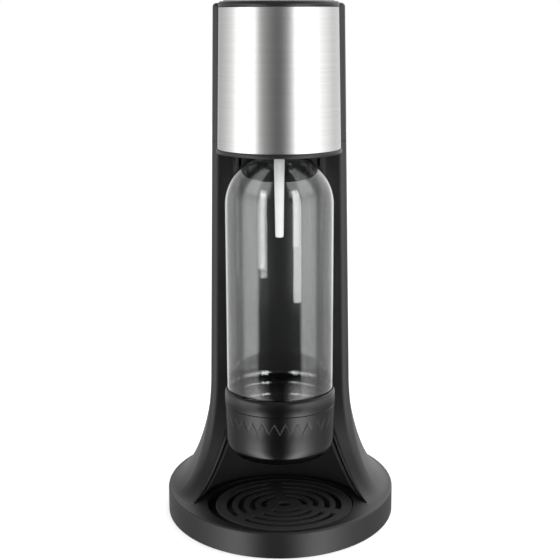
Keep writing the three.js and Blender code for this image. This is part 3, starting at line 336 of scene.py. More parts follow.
# A quarter of an oval, from beside its centre to above or below it
def quarter(start, end, steps):
    points = []
    for i in range(steps + 1):
        angle = math.pi / 2 * i / steps
        radius = end[0] + (start[0] - end[0]) * math.cos(angle)
        points.append((radius, start[1] + (end[1] - start[1]) * math.sin(angle)))
    return points


def arc(radius, start, end, steps=40):
    angles = [start + (end - start) * i / steps for i in range(steps + 1)]
    return [(radius * math.cos(a), radius * math.sin(a)) for a in angles]


# Outlines of the foot and the column
def oval(half_width, half_length, steps=192):
    angles = [2 * math.pi * i / steps for i in range(steps)]
    return [(half_width * math.cos(a), half_length * math.sin(a)) for a in angles]


def oval_disc(inset, z0, z1, edge=0.0, edge_steps=8):
    def at(z, shrink):
        return z, oval(foot_half_width - inset - shrink, foot_half_length - inset - shrink)
    if not edge:
        return loft([at(z0, 0), at(z1, 0)])
    chamfer = edge / 5
    sections = [at(z0, chamfer), at(z0 + chamfer, 0)]
    for i in range(edge_steps + 1):
        angle = math.pi / 2 * i / edge_steps
        sections.append(at(z1 - edge + edge * math.sin(angle), edge - edge * math.cos(angle)))
    return loft(sections)


def column_half_width(z):
    share = max((z - flare_top_z) / (head_top_z - flare_top_z), 0)
    return side_at_flare + (side_at_top - side_at_flare) * share


def column_outline(half_width, inset, corner_steps=10, rear_steps=72, strip_steps=6):
    side = half_width - inset
    front = column_front_y + inset
    corner = max(column_corner - inset, column_corner / 4)
    right = []
    for i in range(1, strip_steps):
        right.append(((side - corner) * i / strip_steps, front))
    for i in range(corner_steps + 1):
        angle = math.pi / 2 * i / corner_steps
        x = side - corner + corner * math.sin(angle)
        right.append((x, front + corner - corner * math.cos(angle)))
    start = front + corner
    for i in range(1, strip_steps):
        right.append((side, start + (column_rear_y - start) * i / strip_steps))
    points = list(right)
    for i in range(rear_steps + 1):
        angle = math.pi * i / rear_steps
        points.append((side * math.cos(angle), column_rear_y + side * math.sin(angle)))
    points += [(-x, y) for x, y in reversed(right)]
    points.append((0, front))
    return points


# How far an oval about the foot's centre is from the middle of the column's rear, in a direction
def reach_of_oval(direction, half_width, half_length):
    square = (direction[0] / half_width) ** 2 + (direction[1] / half_length) ** 2
    cross = column_rear_y * direction[1] / half_length ** 2
    rest = (column_rear_y / half_length) ** 2 - 1
    return (math.sqrt(cross ** 2 - square * rest) - cross) / square


def flare_foot_point(point, inset):
    x, y = point[0], point[1] - column_rear_y
    size = math.hypot(x, y)
    direction = (x / size, y / size)
    half_width = foot_half_width - disc_edge_radius - inset
    reach = reach_of_oval(direction, half_width, flare_front_half_length - inset)
    if column_rear_y + direction[1] * reach > 0:
        reach = reach_of_oval(direction, half_width, foot_half_length - disc_edge_radius)
    return direction[0] * reach, column_rear_y + direction[1] * reach


# The flare's outline at an angle from 0, at its top, to a right angle, at the foot
def flare_section(angle, inset):
    power = 2 / flare_power
    spread = 1 - math.cos(angle) ** power if angle < math.pi / 2 else 1.0
    height = (flare_top_z - disc_top_z) * math.sin(angle) ** power
    lean = inset * math.cos(angle)
    upper = column_outline(side_at_flare, lean)
    directions = column_outline(side_at_flare, 0)
    outline = []
    for point, through in zip(upper, directions):
        foot = flare_foot_point(through, lean)
        x = point[0] + (foot[0] - point[0]) * spread
        outline.append((x, point[1] + (foot[1] - point[1]) * spread))
    return flare_top_z - height - inset * math.sin(angle), outline


def column_section(z, inset):
    return z, column_outline(column_half_width(z), inset)


def column_solid(inset, top_z, flare_steps=48, wall_steps=8):
    sections = []
    for i in range(flare_steps, -1, -1):
        sections.append(flare_section(math.pi / 2 * i / flare_steps, inset))
    low_z, low_outline = sections[0]
    sections.insert(0, (low_z - flare_root, low_outline))
    for i in range(1, wall_steps + 1):
        z = flare_top_z + (top_z - flare_top_z) * i / wall_steps
        sections.append(column_section(z, inset))
    return loft(sections)


# The recess opens like a bell towards the foot, and behind the bottle's axis it opens less
def recess_rear(radius, narrowest):
    return narrowest + (radius - narrowest) * recess_rear_share


def recess_solid(shrink, bottom_z, top_z, bell_steps=40):
    narrowest = recess_radius - shrink
    widest = recess_foot_radius - shrink
    bell = quarter((narrowest, recess_flare_top_z), (widest, disc_top_z), bell_steps)
    profile = [(widest, bottom_z)] if bottom_z < disc_top_z else []
    profile += [(radius, z) for radius, z in reversed(bell) if z >= bottom_z]
    if profile[0][1] > bottom_z:
        profile.insert(0, (profile[0][0], bottom_z))
    profile.append((narrowest, top_z))
    sections = []
    for radius, z in profile:
        rear = recess_rear(radius, narrowest)
        outline = []
        for x, y in oval(radius, radius):
            outline.append((x, bottle_y + (y * rear / radius if y > 0 else y)))
        sections.append((z, outline))
    return loft(sections)


# Above 0 outside the recess and below 0 in it
def outside_recess(point):
    x, y, z = point
    depth = (recess_flare_top_z - z) / (recess_flare_top_z - disc_top_z)
    depth = min(max(depth, 0.0), 1.0)
    widening = recess_foot_radius + (recess_radius - recess_foot_radius) * math.sqrt(1 - depth ** 2)
    reach = recess_rear(widening, recess_radius) if y > bottle_y else widening
    return math.hypot(x / widening, (y - bottle_y) / reach) - 1


def along_outline(level, i, share):
    z, outline = level
    return Vector((*outline[i], z)).lerp(Vector((*outline[i + 1], z)), share)


# Where the column's surface breaks into the recess: each point with the two surfaces' normals
def recess_edge(flare_steps=48, wall_steps=19, side_points=60, nudge=0.01):
    levels = []
    for i in range(flare_steps - 2, -1, -1):
        levels.append(flare_section(math.pi / 2 * i / flare_steps, 0))
    for i in range(1, wall_steps + 1):
        z = flare_top_z + (seam_z + overrun - flare_top_z) * i / wall_steps
        levels.append(column_section(z, 0))
    edge = []
    for lower, level, upper in zip(levels, levels[1:], levels[2:]):
        z, outline = level
        values = [outside_recess((x, y, z)) for x, y in outline[:side_points]]
        i = next(i for i in range(side_points - 1) if values[i] < 0 <= values[i + 1])
        share = values[i] / (values[i] - values[i + 1])
        point = along_outline(level, i, share)
        upward = along_outline(upper, i, share) - along_outline(lower, i, share)
        across = Vector((*outline[i + 1], z)) - Vector((*outline[i], z))
        outer = across.cross(upward).normalized()
        if outer.dot(point - Vector((0, column_rear_y, z))) < 0:
            outer.negate()
        inner = Vector()
        for axis in range(3):
            step = Vector()
            step[axis] = nudge
            inner[axis] = outside_recess(point - step) - outside_recess(point + step)
        edge.append((point, outer, inner.normalized()))
    return edge


# A closed strip along that edge whose inner face is the rounding that it leaves on the shell
def edge_rounding(side, steps=6, crease=math.radians(8), run_out=1.2, outside=0.8, above=0.6):
    reach = recess_edge_reach
    rings = []
    for point, outer, inner in recess_edge():
        turn = outer.angle(inner)
        middle = (outer + inner).normalized()
        across = (inner - outer).normalized()
        radius = reach / math.tan(turn / 2)
        chord = radius * math.sin(turn / 2)
        seat = point - middle * (reach * math.sin(turn / 2))
        half_turn = turn / 2 - crease
        curve = chord / math.sin(half_turn)
        centre = seat - middle * (curve * math.cos(half_turn))
        round_points = []
        for i in range(steps + 1):
            angle = half_turn * (2 * i / steps - 1)
            direction = middle * math.cos(angle) + across * math.sin(angle)
            round_points.append(centre + direction * curve)
        back = middle * -math.sin(half_turn)
        aside = across * math.cos(half_turn)
        first = round_points[0] + (back - aside) * run_out
        last = round_points[-1] + (back + aside) * run_out
        ring = [first, *round_points, last, last + inner * outside]
        ring += [point + middle * (reach + above), first + outer * outside]
        rings.append([(side * x, y, z) for x, y, z in ring])
    return skin(rings)


# The drum's outline: a half circle in front with straight sides back to the column
def drum_outline(radius, rear_y, steps=96):
    points = [(radius, rear_y)]
    for x, y in arc(radius, 0, -math.pi, steps):
        points.append((x, bottle_y + y))
    points.append((-radius, rear_y))
    return list(reversed(points))


# The same at a height, where the drum is a little narrower than at its bottom
def drum_section(z, radius, rear_y):
    share = (z - steel_bottom_z) / (steel_top_z - steel_bottom_z)
    scale = 1 + (drum_radius_top / drum_radius_bottom - 1) * share
    outline = []
    for x, y in drum_outline(radius, rear_y):
        forward = min(y - bottle_y, 0)
        outline.append((x * scale, y + forward * (scale - 1)))
    return z, outline


def drum_solid(radius, rear_y, z0, z1, edge=0.0):
    levels = [(z0, 0.0), (z1, 0.0)]
    if edge:
        bevel = edge * edge_middle
        levels = [(z0, edge), (z0 + bevel, bevel), (z0 + edge, 0.0)]
        levels += [(z1 - edge, 0.0), (z1 - bevel, bevel), (z1, edge)]
    return loft([drum_section(z, radius - inset, rear_y) for z, inset in levels])


# Materials
materials = {}


def add(tree, kind, **settings):
    node = tree.nodes.new("ShaderNode" + kind)
    for key, value in settings.items():
        if key in node.inputs:
            node.inputs[key].default_value = value
        else:
            setattr(node, key, value)
    return node


def ramp(tree, share, stops):
    node = add(tree, "ValToRGB")
    for position, _ in stops[2:]:
        node.color_ramp.elements.new(position)
    for element, (position, color) in zip(node.color_ramp.elements, stops):
        element.position = position
        element.color = (*color, 1)
    tree.links.new(share, node.inputs["Fac"])
    return node.outputs["Color"]


def span(tree, share, low, high):
    node = add(tree, "MapRange", **{"To Min": low, "To Max": high})
    tree.links.new(share, node.inputs["Value"])
    return node.outputs["Result"]


def noise(tree, place, scale, detail, roughness=0.5):
    node = add(tree, "TexNoise", Scale=scale, Detail=detail, Roughness=roughness)
    tree.links.new(place, node.inputs["Vector"])
    return node.outputs["Fac"]


def material(name):
    made = bpy.data.materials.new(name)
    made.use_nodes = True
    materials[name] = made
    return made.node_tree, made.node_tree.nodes["Principled BSDF"]


# What a noise does to a surface: its colour between a darker and a lighter tone, its roughness
# between two values, and its relief, whose depth is in millimetres
def tint(tree, shader, share, color, darkest, lightest):
    stops = []
    for position, tone in ((0.3, darkest), (0.7, lightest)):
        stops.append((position, tuple(min(c * tone, 1.0) for c in color)))
    tree.links.new(ramp(tree, share, stops), shader.inputs["Base Color"])


def roughen(tree, shader, share, low, high):
    tree.links.new(span(tree, share, low, high), shader.inputs["Roughness"])


def emboss(tree, shader, share, strength, depth):
    bump = add(tree, "Bump", Strength=strength, Distance=depth * MM)
    tree.links.new(share, bump.inputs["Height"])
    tree.links.new(bump.outputs["Normal"], shader.inputs["Normal"])


# Grain is the fine relief's scale
def plastic(name, color, roughness, grain, depth, spread=0.05, coat=0.0):
    tree, shader = material(name)
    shader.inputs["IOR"].default_value = 1.5
    shader.inputs["Coat Weight"].default_value = coat
    place = add(tree, "TexCoord").outputs["Object"]
    mottle = noise(tree, place, 14.0, 3.0, 0.6)
    fine = noise(tree, place, grain, 2.0)
    tint(tree, shader, mottle, color, 0.9, 1.1)
    roughen(tree, shader, mottle, roughness - spread, roughness + spread)
    emboss(tree, shader, fine, 0.35, depth)


# Stretch is the scale of its lines along each axis: the sheet's lie level round the drum
def metal(name, color, roughness, stretch, depth, spread=0.05):
    tree, shader = material(name)
    shader.inputs["Metallic"].default_value = 1.0
    place = add(tree, "TexCoord").outputs["Object"]
    mapping = add(tree, "Mapping", Scale=stretch)
    tree.links.new(place, mapping.inputs["Vector"])
    lines = noise(tree, mapping.outputs["Vector"], 1.0, 4.0, 0.65)
    clouds = noise(tree, place, 60.0, 3.0)
    tint(tree, shader, lines, color, 0.93, 1.05)
    roughen(tree, shader, clouds, roughness - spread, roughness + spread)
    emboss(tree, shader, lines, 0.4, depth)


def clear(name, color, roughness, depth):
    tree, shader = material(name)
    shader.inputs["Base Color"].default_value = (*color, 1)
    shader.inputs["Transmission Weight"].default_value = 1.0
    shader.inputs["IOR"].default_value = 1.5
    waves = noise(tree, add(tree, "TexCoord").outputs["Object"], 22.0, 2.0)
    roughen(tree, shader, waves, 0.0, roughness)
    emboss(tree, shader, waves, 0.1, depth)


plastic("black_shell", (0.009, 0.009, 0.0094), 0.36, 1400.0, 0.02)
plastic("black_inner", (0.02, 0.02, 0.0206), 0.62, 1400.0, 0.02)
plastic("black_cup", (0.0025, 0.0025, 0.0027), 0.2, 500.0, 0.006, 0.02)
plastic("grey_button", (0.5, 0.505, 0.51), 0.36, 150.0, 0.002)
plastic("grey_plastic", (0.16, 0.17, 0.18), 0.55, 1200.0, 0.04)
plastic("white_plastic", (0.9, 0.9, 0.89), 0.35, 1200.0, 0.02)
plastic("rubber", (0.01, 0.01, 0.01), 0.8, 1800.0, 0.08)
plastic("red_plastic", (0.33, 0.03, 0.02), 0.45, 1200.0, 0.03)
metal("brushed_steel", (0.62, 0.62, 0.615), 0.24, (5.0, 5.0, 2200.0), 0.012)
metal("brass", (0.72, 0.5, 0.24), 0.3, (900.0, 900.0, 900.0), 0.01)
metal("zinc_steel", (0.55, 0.56, 0.58), 0.35, (700.0, 700.0, 700.0), 0.01)
plastic("painted_steel", (0.27, 0.28, 0.3), 0.3, 700.0, 0.02, 0.04, 0.3)
clear("clear_plastic", (0.91, 0.92, 0.92), 0.004, 0.05)


def dress(piece, name, body, slot, *replaced, smooth_angle=30.0, weighted=True):
    piece.name = name
    piece.data.materials.clear()
    piece.data.materials.append(materials[slot])
    for polygon in piece.data.polygons:
        polygon.use_smooth = True
    piece.data.set_sharp_from_angle(angle=math.radians(smooth_angle))
    if weighted:
        piece.modifiers.new("weighted", "WEIGHTED_NORMAL").keep_sharp = True
    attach(piece, body)
    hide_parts(*replaced)
    return piece


# Stand: column, foot and lining
def make_shell():
    shell = column_solid(0, stand_top_z)
    join(shell, oval_disc(0, disc_bottom_z, disc_top_z, disc_edge_radius))
    cut(shell, oval_disc(shell_wall, disc_bottom_z - overrun, disc_top_z - shell_wall))
    under = well_floor_z - well_floor_wall
    join(shell, disc(well_radius + well_wall, under, disc_top_z - shell_wall / 2))
    room = column_solid(shell_wall, seam_z + overrun)
    keep_within(room, block(far_side, -far_side, far_side, disc_top_z, far_top_z))
    cut(shell, room)
    cut(shell, recess_solid(0, disc_top_z, seam_z + overrun))
    cut(shell, edge_rounding(1), edge_rounding(-1))
    cut(shell, disc(well_radius, well_floor_z, disc_top_z + overrun))
    hole = disc(bay_hole_radius, under, disc_top_z + overrun, cylinder_y)
    cut(hole, disc(well_radius + well_wall, 0, disc_top_z - shell_wall))
    cut(shell, hole)
    side = cover_half_width + slide_gap
    low = cover_bottom_z - slide_gap
    cut(shell, block(side, cover_front_y, far_side, low, seam_z + overrun))
    return dress(shell, "shell", "machine", "black_shell", "main_body")


def make_liner():
    top = stand_top_z - seat_gap
    bottom = disc_top_z + seat_gap
    liner = recess_solid(seat_gap, bottom, top)
    cut(liner, recess_solid(seat_gap + liner_wall, bottom - overrun, top + overrun))
    keep_within(liner, column_solid(liner_set_back, top))
    return dress(liner, "lining", "machine", "black_inner", "recess_liner")


def make_rear_cover():
    cover = column_solid(0, stand_top_z)
    cut(cover, column_solid(shell_wall, seam_z + overrun))
    panel = block(cover_half_width, cover_front_y, foot_half_length, cover_bottom_z, seam_z)
    keep_within(cover, panel)
    return dress(cover, "back_cover", "cover", "black_shell", "rear_cover")


# Foot: tray and grille
def make_tray():
    inner = tray_radius - tray_wall
    floor_top = tray_floor_z + tray_wall
    profile = [
        (0, tray_floor_z), (inner, tray_floor_z),
        (tray_radius - tray_bend_side, tray_floor_z + tray_bend),
        (tray_radius, floor_top), (tray_radius, tray_rim_z - tray_edge),
        (tray_radius - tray_edge, tray_rim_z), (inner + tray_edge, tray_rim_z),
        (inner, tray_rim_z - tray_edge), (inner, floor_top + tray_wall),
        (inner - tray_bend, floor_top + tray_bend), (inner - tray_wall, floor_top), (0, floor_top),
    ]
    tray = lathe(profile, 160, tray_x)
    return dress(tray, "tray_dish", "tray", "black_inner", "drip_tray")


# One slot, wider at the grille's top by its softened edge
def slot_solid(outer, start, end, bottom, top):
    inner = outer - slot_width
    bevel = slot_edge * edge_middle
    levels = ((bottom, 0.0), (top - slot_edge, 0.0), (top - bevel, bevel), (top + sliver, slot_edge))
    sections = []
    for z, grow in levels:
        trim = spoke_half_width - grow
        outline = arc(outer + grow, start + trim / outer, end - trim / outer)
        outline += arc(inner - grow, end - trim / inner, start + trim / inner)
        sections.append((z, [(x + tray_x, y + bottle_y) for x, y in outline]))
    return loft(sections)


def make_grille():
    top = grille_z + grille_plate
    skirt_inner = grille_skirt_radius - grille_skirt_wall
    skirt_low = grille_z - grille_skirt_height
    profile = [
        (0, grille_z), (skirt_inner, grille_z), (skirt_inner, skirt_low),
        (grille_skirt_radius, skirt_low), (grille_skirt_radius, grille_z), (grille_radius, grille_z),
    ]
    profile += [(grille_radius - inset, top + rise) for inset, rise in grille_lip]
    profile.append((0, top))
    grille = lathe(profile, 192, tray_x)
    sector = 2 * math.pi / spoke_count
    bottom = grille_z - overrun / 2
    for row in range(slot_rows):
        for spoke in range(spoke_count):
            start = math.pi / 2 + spoke_turn + sector * spoke
            outer = slot_outer_radius - row * slot_pitch
            cut(grille, slot_solid(outer, start, start + sector, bottom, top))
    hub = [
        (0, bottom), (hub_hole_radius, bottom), (hub_hole_radius, top - slot_edge),
        (hub_hole_radius + slot_edge, top + sliver), (0, top + sliver),
    ]
    cut(grille, lathe(hub, 48, tray_x))
    return dress(grille, "grille_plate", "grille", "black_inner", "drip_grille")


# Head
def make_housing(edge_steps=8):
    low_levels = (head_bottom_z, head_bottom_z + sliver, head_top_z - head_edge)
    sections = [column_section(z, 0) for z in low_levels]
    for i in range(1, edge_steps + 1):
        angle = math.pi / 2 * i / edge_steps
        z = head_top_z - head_edge * (1 - math.sin(angle))
        sections.append(column_section(z, head_edge * (1 - math.cos(angle))))
    housing = loft(sections)
    rear = column_front_y + column_corner
    core = drum_radius_bottom - core_inset
    ceiling = head_top_z - shell_wall
    join(housing, drum_solid(core, rear, head_bottom_z, steel_top_z))
    join(housing, drum_solid(drum_radius_bottom, rear, steel_top_z + seat_gap, head_top_z))
    cut(housing, disc(trim_seat_radius, steel_top_z, head_top_z + overrun))
    cut(housing, loft([column_section(z, shell_wall) for z in (seam_z - overrun, ceiling)]))
    cut(housing, drum_solid(core - drum_wall, rear, seam_z - overrun, ceiling))
    collar_radius = button_hole + button_collar_wall
    collar = [
        (button_hole, button_low_z), (collar_radius, button_low_z), (collar_radius, steel_top_z),
        (button_hole, steel_top_z), (button_hole, button_low_z),
    ]
    join(housing, lathe(collar))
    cut(housing, disc(button_hole, button_low_z - overrun, steel_top_z))
    return dress(housing, "head_shell", "machine", "black_shell", "upper_housing")


def make_steel():
    sheet = drum_solid(drum_radius_bottom, steel_rear_y, steel_bottom_z, steel_top_z, steel_edge)
    inner = drum_radius_bottom - steel_wall
    low, high = steel_bottom_z - overrun, steel_top_z + overrun
    cut(sheet, drum_solid(inner, steel_rear_y + overrun, low, high))
    return dress(sheet, "drum_sheet", "machine", "brushed_steel", "steel_wrap")


def make_drum_rim():
    rear = column_front_y - seat_gap
    levels = (
        (drum_rim_bottom_z, drum_rim_edge),
        (drum_rim_bottom_z + drum_rim_break_rise, drum_rim_break),
        (drum_rim_bottom_z + drum_rim_edge, 0),
        (drum_rim_top_z - drum_rim_break, 0),
        (drum_rim_top_z, drum_rim_break),
    )
    sections = []
    for z, inset in levels:
        sections.append((z, drum_outline(drum_radius_bottom + drum_rim_lip - inset, rear)))
    rim = loft(sections)
    join(rim, disc(drum_rim_disc, drum_rim_bottom_z, drum_rim_top_z))
    cut(rim, disc(drum_rim_hole, drum_rim_bottom_z - overrun, drum_rim_top_z + overrun))
    core = drum_radius_bottom - core_inset
    bore = core - drum_wall
    collar = drum_solid(core, rear, drum_rim_top_z - seat_gap, stand_top_z)
    cut(collar, drum_solid(bore, rear - drum_wall, drum_rim_top_z - overrun, seam_z + overrun))
    join(rim, collar)
    return dress(rim, "drum_edge", "machine", "black_shell", "drum_rim")


def make_trim_ring():
    inner = button_hole
    outer = drum_radius_top
    bottom = steel_top_z + seat_gap
    top = head_top_z + trim_rise
    profile = [(inner, bottom), (outer, bottom)]
    profile += [(outer + out, bottom + rise) for out, rise in trim_bead]
    profile += [(outer + out, top + rise) for out, rise in trim_round]
    profile += [(inner + out, top + rise) for out, rise in trim_inner_round]
    profile.append((inner, bottom))
    ring = lathe(profile, 160)
    return dress(ring, "ring", "machine", "black_shell", "trim_ring", smooth_angle=50)


def make_button(edge_steps=8, dome_steps=12):
    rim = button_top_z - button_dome
    flat = button_radius - button_edge
    skirt_inner = button_skirt_radius - button_wall
    profile = [
        (skirt_inner, button_low_z), (button_skirt_radius, button_low_z),
        (button_skirt_radius, steel_top_z), (button_radius, steel_top_z + slide_gap),
    ]
    profile += quarter((button_radius, rim - button_edge), (flat, rim), edge_steps)
    for i in range(1, dome_steps + 1):
        radius = flat * (1 - i / dome_steps)
        profile.append((radius, rim + button_dome * (1 - (radius / flat) ** 2)))
    profile += [
        (0, button_top_z - button_wall), (skirt_inner - button_wall / 2, rim - button_wall),
        (skirt_inner, rim - 2 * button_wall), (skirt_inner, button_low_z),
    ]
    cap = lathe(profile, 160)
    return dress(cap, "cap", "button", "grey_button", "button_cap")


# The button's spring, built at one length; the real one shortens as the button goes down
def make_spring(turn_steps=36, wire_steps=12):
    low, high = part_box("button_spring")
    start = low[2] / MM + spring_wire_radius
    rise = high[2] / MM - spring_wire_radius - start
    steps = spring_turns * turn_steps
    rings = []
    for i in range(steps + 1):
        angle = 2 * math.pi * i / turn_steps
        ring = []
        for k in range(wire_steps):
            about_wire = 2 * math.pi * k / wire_steps
            reach = spring_radius + spring_wire_radius * math.cos(about_wire)
            z = start + rise * i / steps + spring_wire_radius * math.sin(about_wire)
            ring.append((reach * math.cos(angle), bottle_y + reach * math.sin(angle), z))
        rings.append(ring)
    spring = dress(
        skin(rings), "coil", "machine", "zinc_steel", "button_spring",
        smooth_angle=60, weighted=False,
    )
    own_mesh(spring)
    return spring


# Bottle, its cup, and the nozzle in it
def smooth_curve(points, steps):
    curve = []
    last = len(points) - 1
    for i in range(last):
        p0 = points[max(i - 1, 0)]
        p1, p2 = points[i], points[i + 1]
        p3 = points[min(i + 2, last)]
        for k in range(steps):
            t = k / steps
            at = []
            for a, b, c, d in zip(p0, p1, p2, p3):
                at.append(0.5 * (2 * b + (c - a) * t + (2 * a - 5 * b + 4 * c - d) * t * t
                                 + (3 * b - a - 3 * c + d) * t ** 3))
            curve.append(tuple(at))
    curve.append(points[-1])
    return curve


def offset_inward(points, distance):
    moved = []
    for i, (radius, z) in enumerate(points):
        before = points[max(i - 1, 0)]
        after = points[min(i + 1, len(points) - 1)]
        along = Vector((after[0] - before[0], after[1] - before[1])).normalized()
        moved.append((max(radius - distance * along[1], 0.0), z + distance * along[0]))
    return moved


def make_bottle(corner_steps=14, shoulder_steps=24, neck_steps=6):
    corner_end = (bottle_low_radius - bottle_corner, bottle_bottom_z)
    corner = quarter((bottle_low_radius, bottle_bottom_z + bottle_corner), corner_end, corner_steps)
    outer = list(bottle_punt) + list(reversed(corner))
    for z in bottle_ring_z:
        for inset, rise in bottle_ring:
            outer.append((bottle_low_radius - inset, z + rise))
    outer += bottle_widening
    outer += [(bottle_radius, z) for z in (*bottle_wall_z, bottle_shoulder_z)]
    for i in range(1, shoulder_steps + 1):
        angle = bottle_shoulder_turn * i / shoulder_steps
        z = bottle_shoulder_z + bottle_shoulder_rise * math.sin(angle)
        outer.append((bottle_radius * math.cos(angle), z))
    outer += smooth_curve([outer[-1], *bottle_neck], neck_steps)[1:]
    outer += bottle_collar
    edge_z = bottle_mouth_z - bottle_mouth_edge
    outer.append((bottle_neck_radius, edge_z))
    outer.append((bottle_neck_radius - bottle_mouth_edge, bottle_mouth_z))
    inner = offset_inward([p for p in outer if p[1] < bottle_wall_end_z], bottle_wall)
    inner[0] = (0, bottle_punt[0][1] + bottle_wall)
    inner += [
        (bottle_bore_radius, bottle_bore_z), (bottle_bore_radius, edge_z),
        (bottle_bore_radius + bottle_mouth_edge, bottle_mouth_z),
    ]
    return dress(
        lathe(outer + list(reversed(inner)), 192), "flask", "bottle", "clear_plastic", "bottle",
        smooth_angle=40, weighted=False,
    )


# The teeth round the cup are the edge of a shallow step, and this is that edge's height
def teeth_height(share):
    position = share * teeth_count % 1
    return teeth_low_z + (teeth_high_z - teeth_low_z) * abs(2 * position - 1)


def make_cup(corner_steps=16, bore_corner_steps=12, tooth_steps=12):
    corner_end = (cup_low_radius - cup_corner, cup_bottom_z)
    corner = quarter((cup_low_radius, cup_bottom_z + cup_corner), corner_end, corner_steps)
    below = [*cup_underside, *reversed(corner), *cup_wall]
    bore_end = (cup_bore_radius - cup_bore_corner, cup_floor_z)
    bore_start = (cup_bore_radius, cup_floor_z + cup_bore_corner)
    bore = quarter(bore_start, bore_end, bore_corner_steps)
    above = [*cup_groove, *cup_band, *cup_lip, *bore, (0, cup_floor_z)]
    steps = teeth_count * tooth_steps
    points = []
    for i in range(steps):
        angle = 2 * math.pi * i / steps
        teeth = []
        for depth, rise in teeth_step:
            z = teeth_height(i / steps) + rise
            teeth.append((cup_radius - depth + max(z - cup_slope_z, 0) * cup_slope, z))
        for radius, z in below + teeth + above:
            points.append((radius * math.cos(angle), bottle_y + radius * math.sin(angle), z))
    rows = len(points) // steps
    faces = []
    for i in range(steps):
        a = i * rows
        b = (i + 1) % steps * rows
        for row in range(rows - 1):
            faces.append((a + row, b + row, b + row + 1, a + row + 1))
    return dress(
        mesh_object(points, faces), "cup_shell", "bottle", "black_cup", "bottle_cup",
        smooth_angle=25, weighted=False,
    )


def make_nozzle():
    profile = [(radius, nozzle_tip_z + rise) for radius, rise in nozzle_tip]
    profile += [
        (nozzle_radius, nozzle_taper_z), (nozzle_radius, nozzle_flange_z),
        (nozzle_flange_radius, nozzle_flange_z), (nozzle_flange_radius, nozzle_top_z),
        (nozzle_hole, nozzle_top_z), (nozzle_hole, nozzle_tip_z),
    ]
    return dress(lathe(profile, 64), "spout", "holder", "white_plastic", "nozzle")


make_shell()
make_liner()
make_rear_cover()
make_tray()
make_grille()
make_housing()
make_steel()
make_drum_rim()
make_trim_ring()
make_button()
make_spring()
flask = make_bottle()
make_cup()
make_nozzle()

# Camera, as it was fitted to the photograph's ellipses and widths
camera_lens = 80.357
camera_sensor = 36
camera_place = (0.0009, -1.0245, 0.4115)
camera_looks_down = math.radians(11.8)
camera_roll = math.radians(0.17)
camera_data = bpy.data.cameras.new("camera")
camera_data.lens = camera_lens
camera_data.sensor_width = camera_sensor
camera = bpy.data.objects.new("camera", camera_data)
camera.location = camera_place
camera.rotation_euler = Euler((math.pi / 2 - camera_looks_down, camera_roll, 0))
bpy.context.scene.collection.objects.link(camera)
bpy.context.scene.camera = camera

# A pale floor that the camera sees a little lighter than it lights the object
floor_reach = 4000.0
floor_color = (0.85, 0.85, 0.85, 1)
floor_roughness = 0.8
floor_glow_seen = 0.5
floor_corners = [(-1, -1), (1, -1), (1, 1), (-1, 1)]
floor = mesh_object([(x * floor_reach, y * floor_reach, 0) for x, y in floor_corners], [(0, 1, 2, 3)])
floor.name = "floor"
floor_tree, floor_shader = material("floor")
floor_shader.inputs["Base Color"].default_value = floor_color
floor_shader.inputs["Roughness"].default_value = floor_roughness
floor_shader.inputs["Emission Color"].default_value = (1, 1, 1, 1)
seen = add(floor_tree, "LightPath").outputs["Is Camera Ray"]
floor_glow = span(floor_tree, seen, 0.0, floor_glow_seen)
floor_tree.links.new(floor_glow, floor_shader.inputs["Emission Strength"])
floor.data.materials.append(materials["floor"])
floor.visible_glossy = False
floor.visible_transmission = False


def lamp(name, place, aim, size, energy):
    data = bpy.data.lights.new(name, "AREA")
    data.shape = "RECTANGLE"
    data.size, data.size_y = size
    data.energy = energy
    made = bpy.data.objects.new(name, data)
    made.location = place
    made.rotation_euler = (Vector(aim) - Vector(place)).to_track_quat("-Z", "Y").to_euler()
    made.visible_camera = False
    bpy.context.scene.collection.objects.link(made)
    return made


# Soft light from above and from the front, which gloss doesn't show: place, size and energy
fills = (("top_fill", (0, -0.1, 1.7), 1.4, 8), ("front_fill", (0, -1.7, 1.0), 1.5, 11))
fill_aim = (0, 0, 0.2)
for name, place, size, energy in fills:
    fill = lamp(name, place, fill_aim, (size, size), energy)
    fill.visible_glossy = False
    fill.visible_transmission = False

# Two upright strips beside the camera, which only the bottle mirrors: how far each is turned from
# the front in degrees, its width, its lower end and its brightness
strips = (("left_strip", -37.5, 0.18, 0.093, 4.0), ("right_strip", 37.0, 0.2, 0.048, 5.8))
lit_by_strips = bpy.data.collections.new("lit_by_strips")
lit_by_strips.objects.link(flask)
strip_distance = 0.7
strip_top = 0.75
for name, turned, width, bottom, brightness in strips:
    bearing = math.radians(turned)
    height = strip_top - bottom
    place = Vector((math.sin(bearing), -math.cos(bearing), 0)) * strip_distance
    place += Vector((0, bottle_y * MM, bottom + height / 2))
    aim = (0, bottle_y * MM, place.z)
    strip = lamp(name, place, aim, (width, height), brightness * math.pi * width * height)
    strip.visible_diffuse = False
    strip.light_linking.receiver_collection = lit_by_strips

# The studio round the object: how bright it is in each direction, from the front (0 degrees)
# to the left (minus) and to the right, with a tall soft box on either side of the dark front
walls = (
    (-180, 0.8), (-150, 0.55), (-120, 0.8), (-98, 1.2), (-84, 2.0), (-54, 2.2), (-46, 2.2),
    (-38, 0.66), (-22, 0.34), (-6, 0.15), (4, 0.15), (14, 0.36), (24, 0.95), (32, 2.4), (66, 2.4),
    (84, 1.6), (120, 0.9), (150, 0.9), (180, 0.8),
)
# The same a little lower, where the boxes' inner halves have ended
low_walls = (
    (-180, 0.4), (-98, 0.9), (-84, 1.4), (-52, 1.4), (-44, 0.12), (-20, 0.06), (10, 0.06),
    (43, 0.12), (50, 1.6), (84, 1.3), (120, 0.6), (180, 0.4),
)
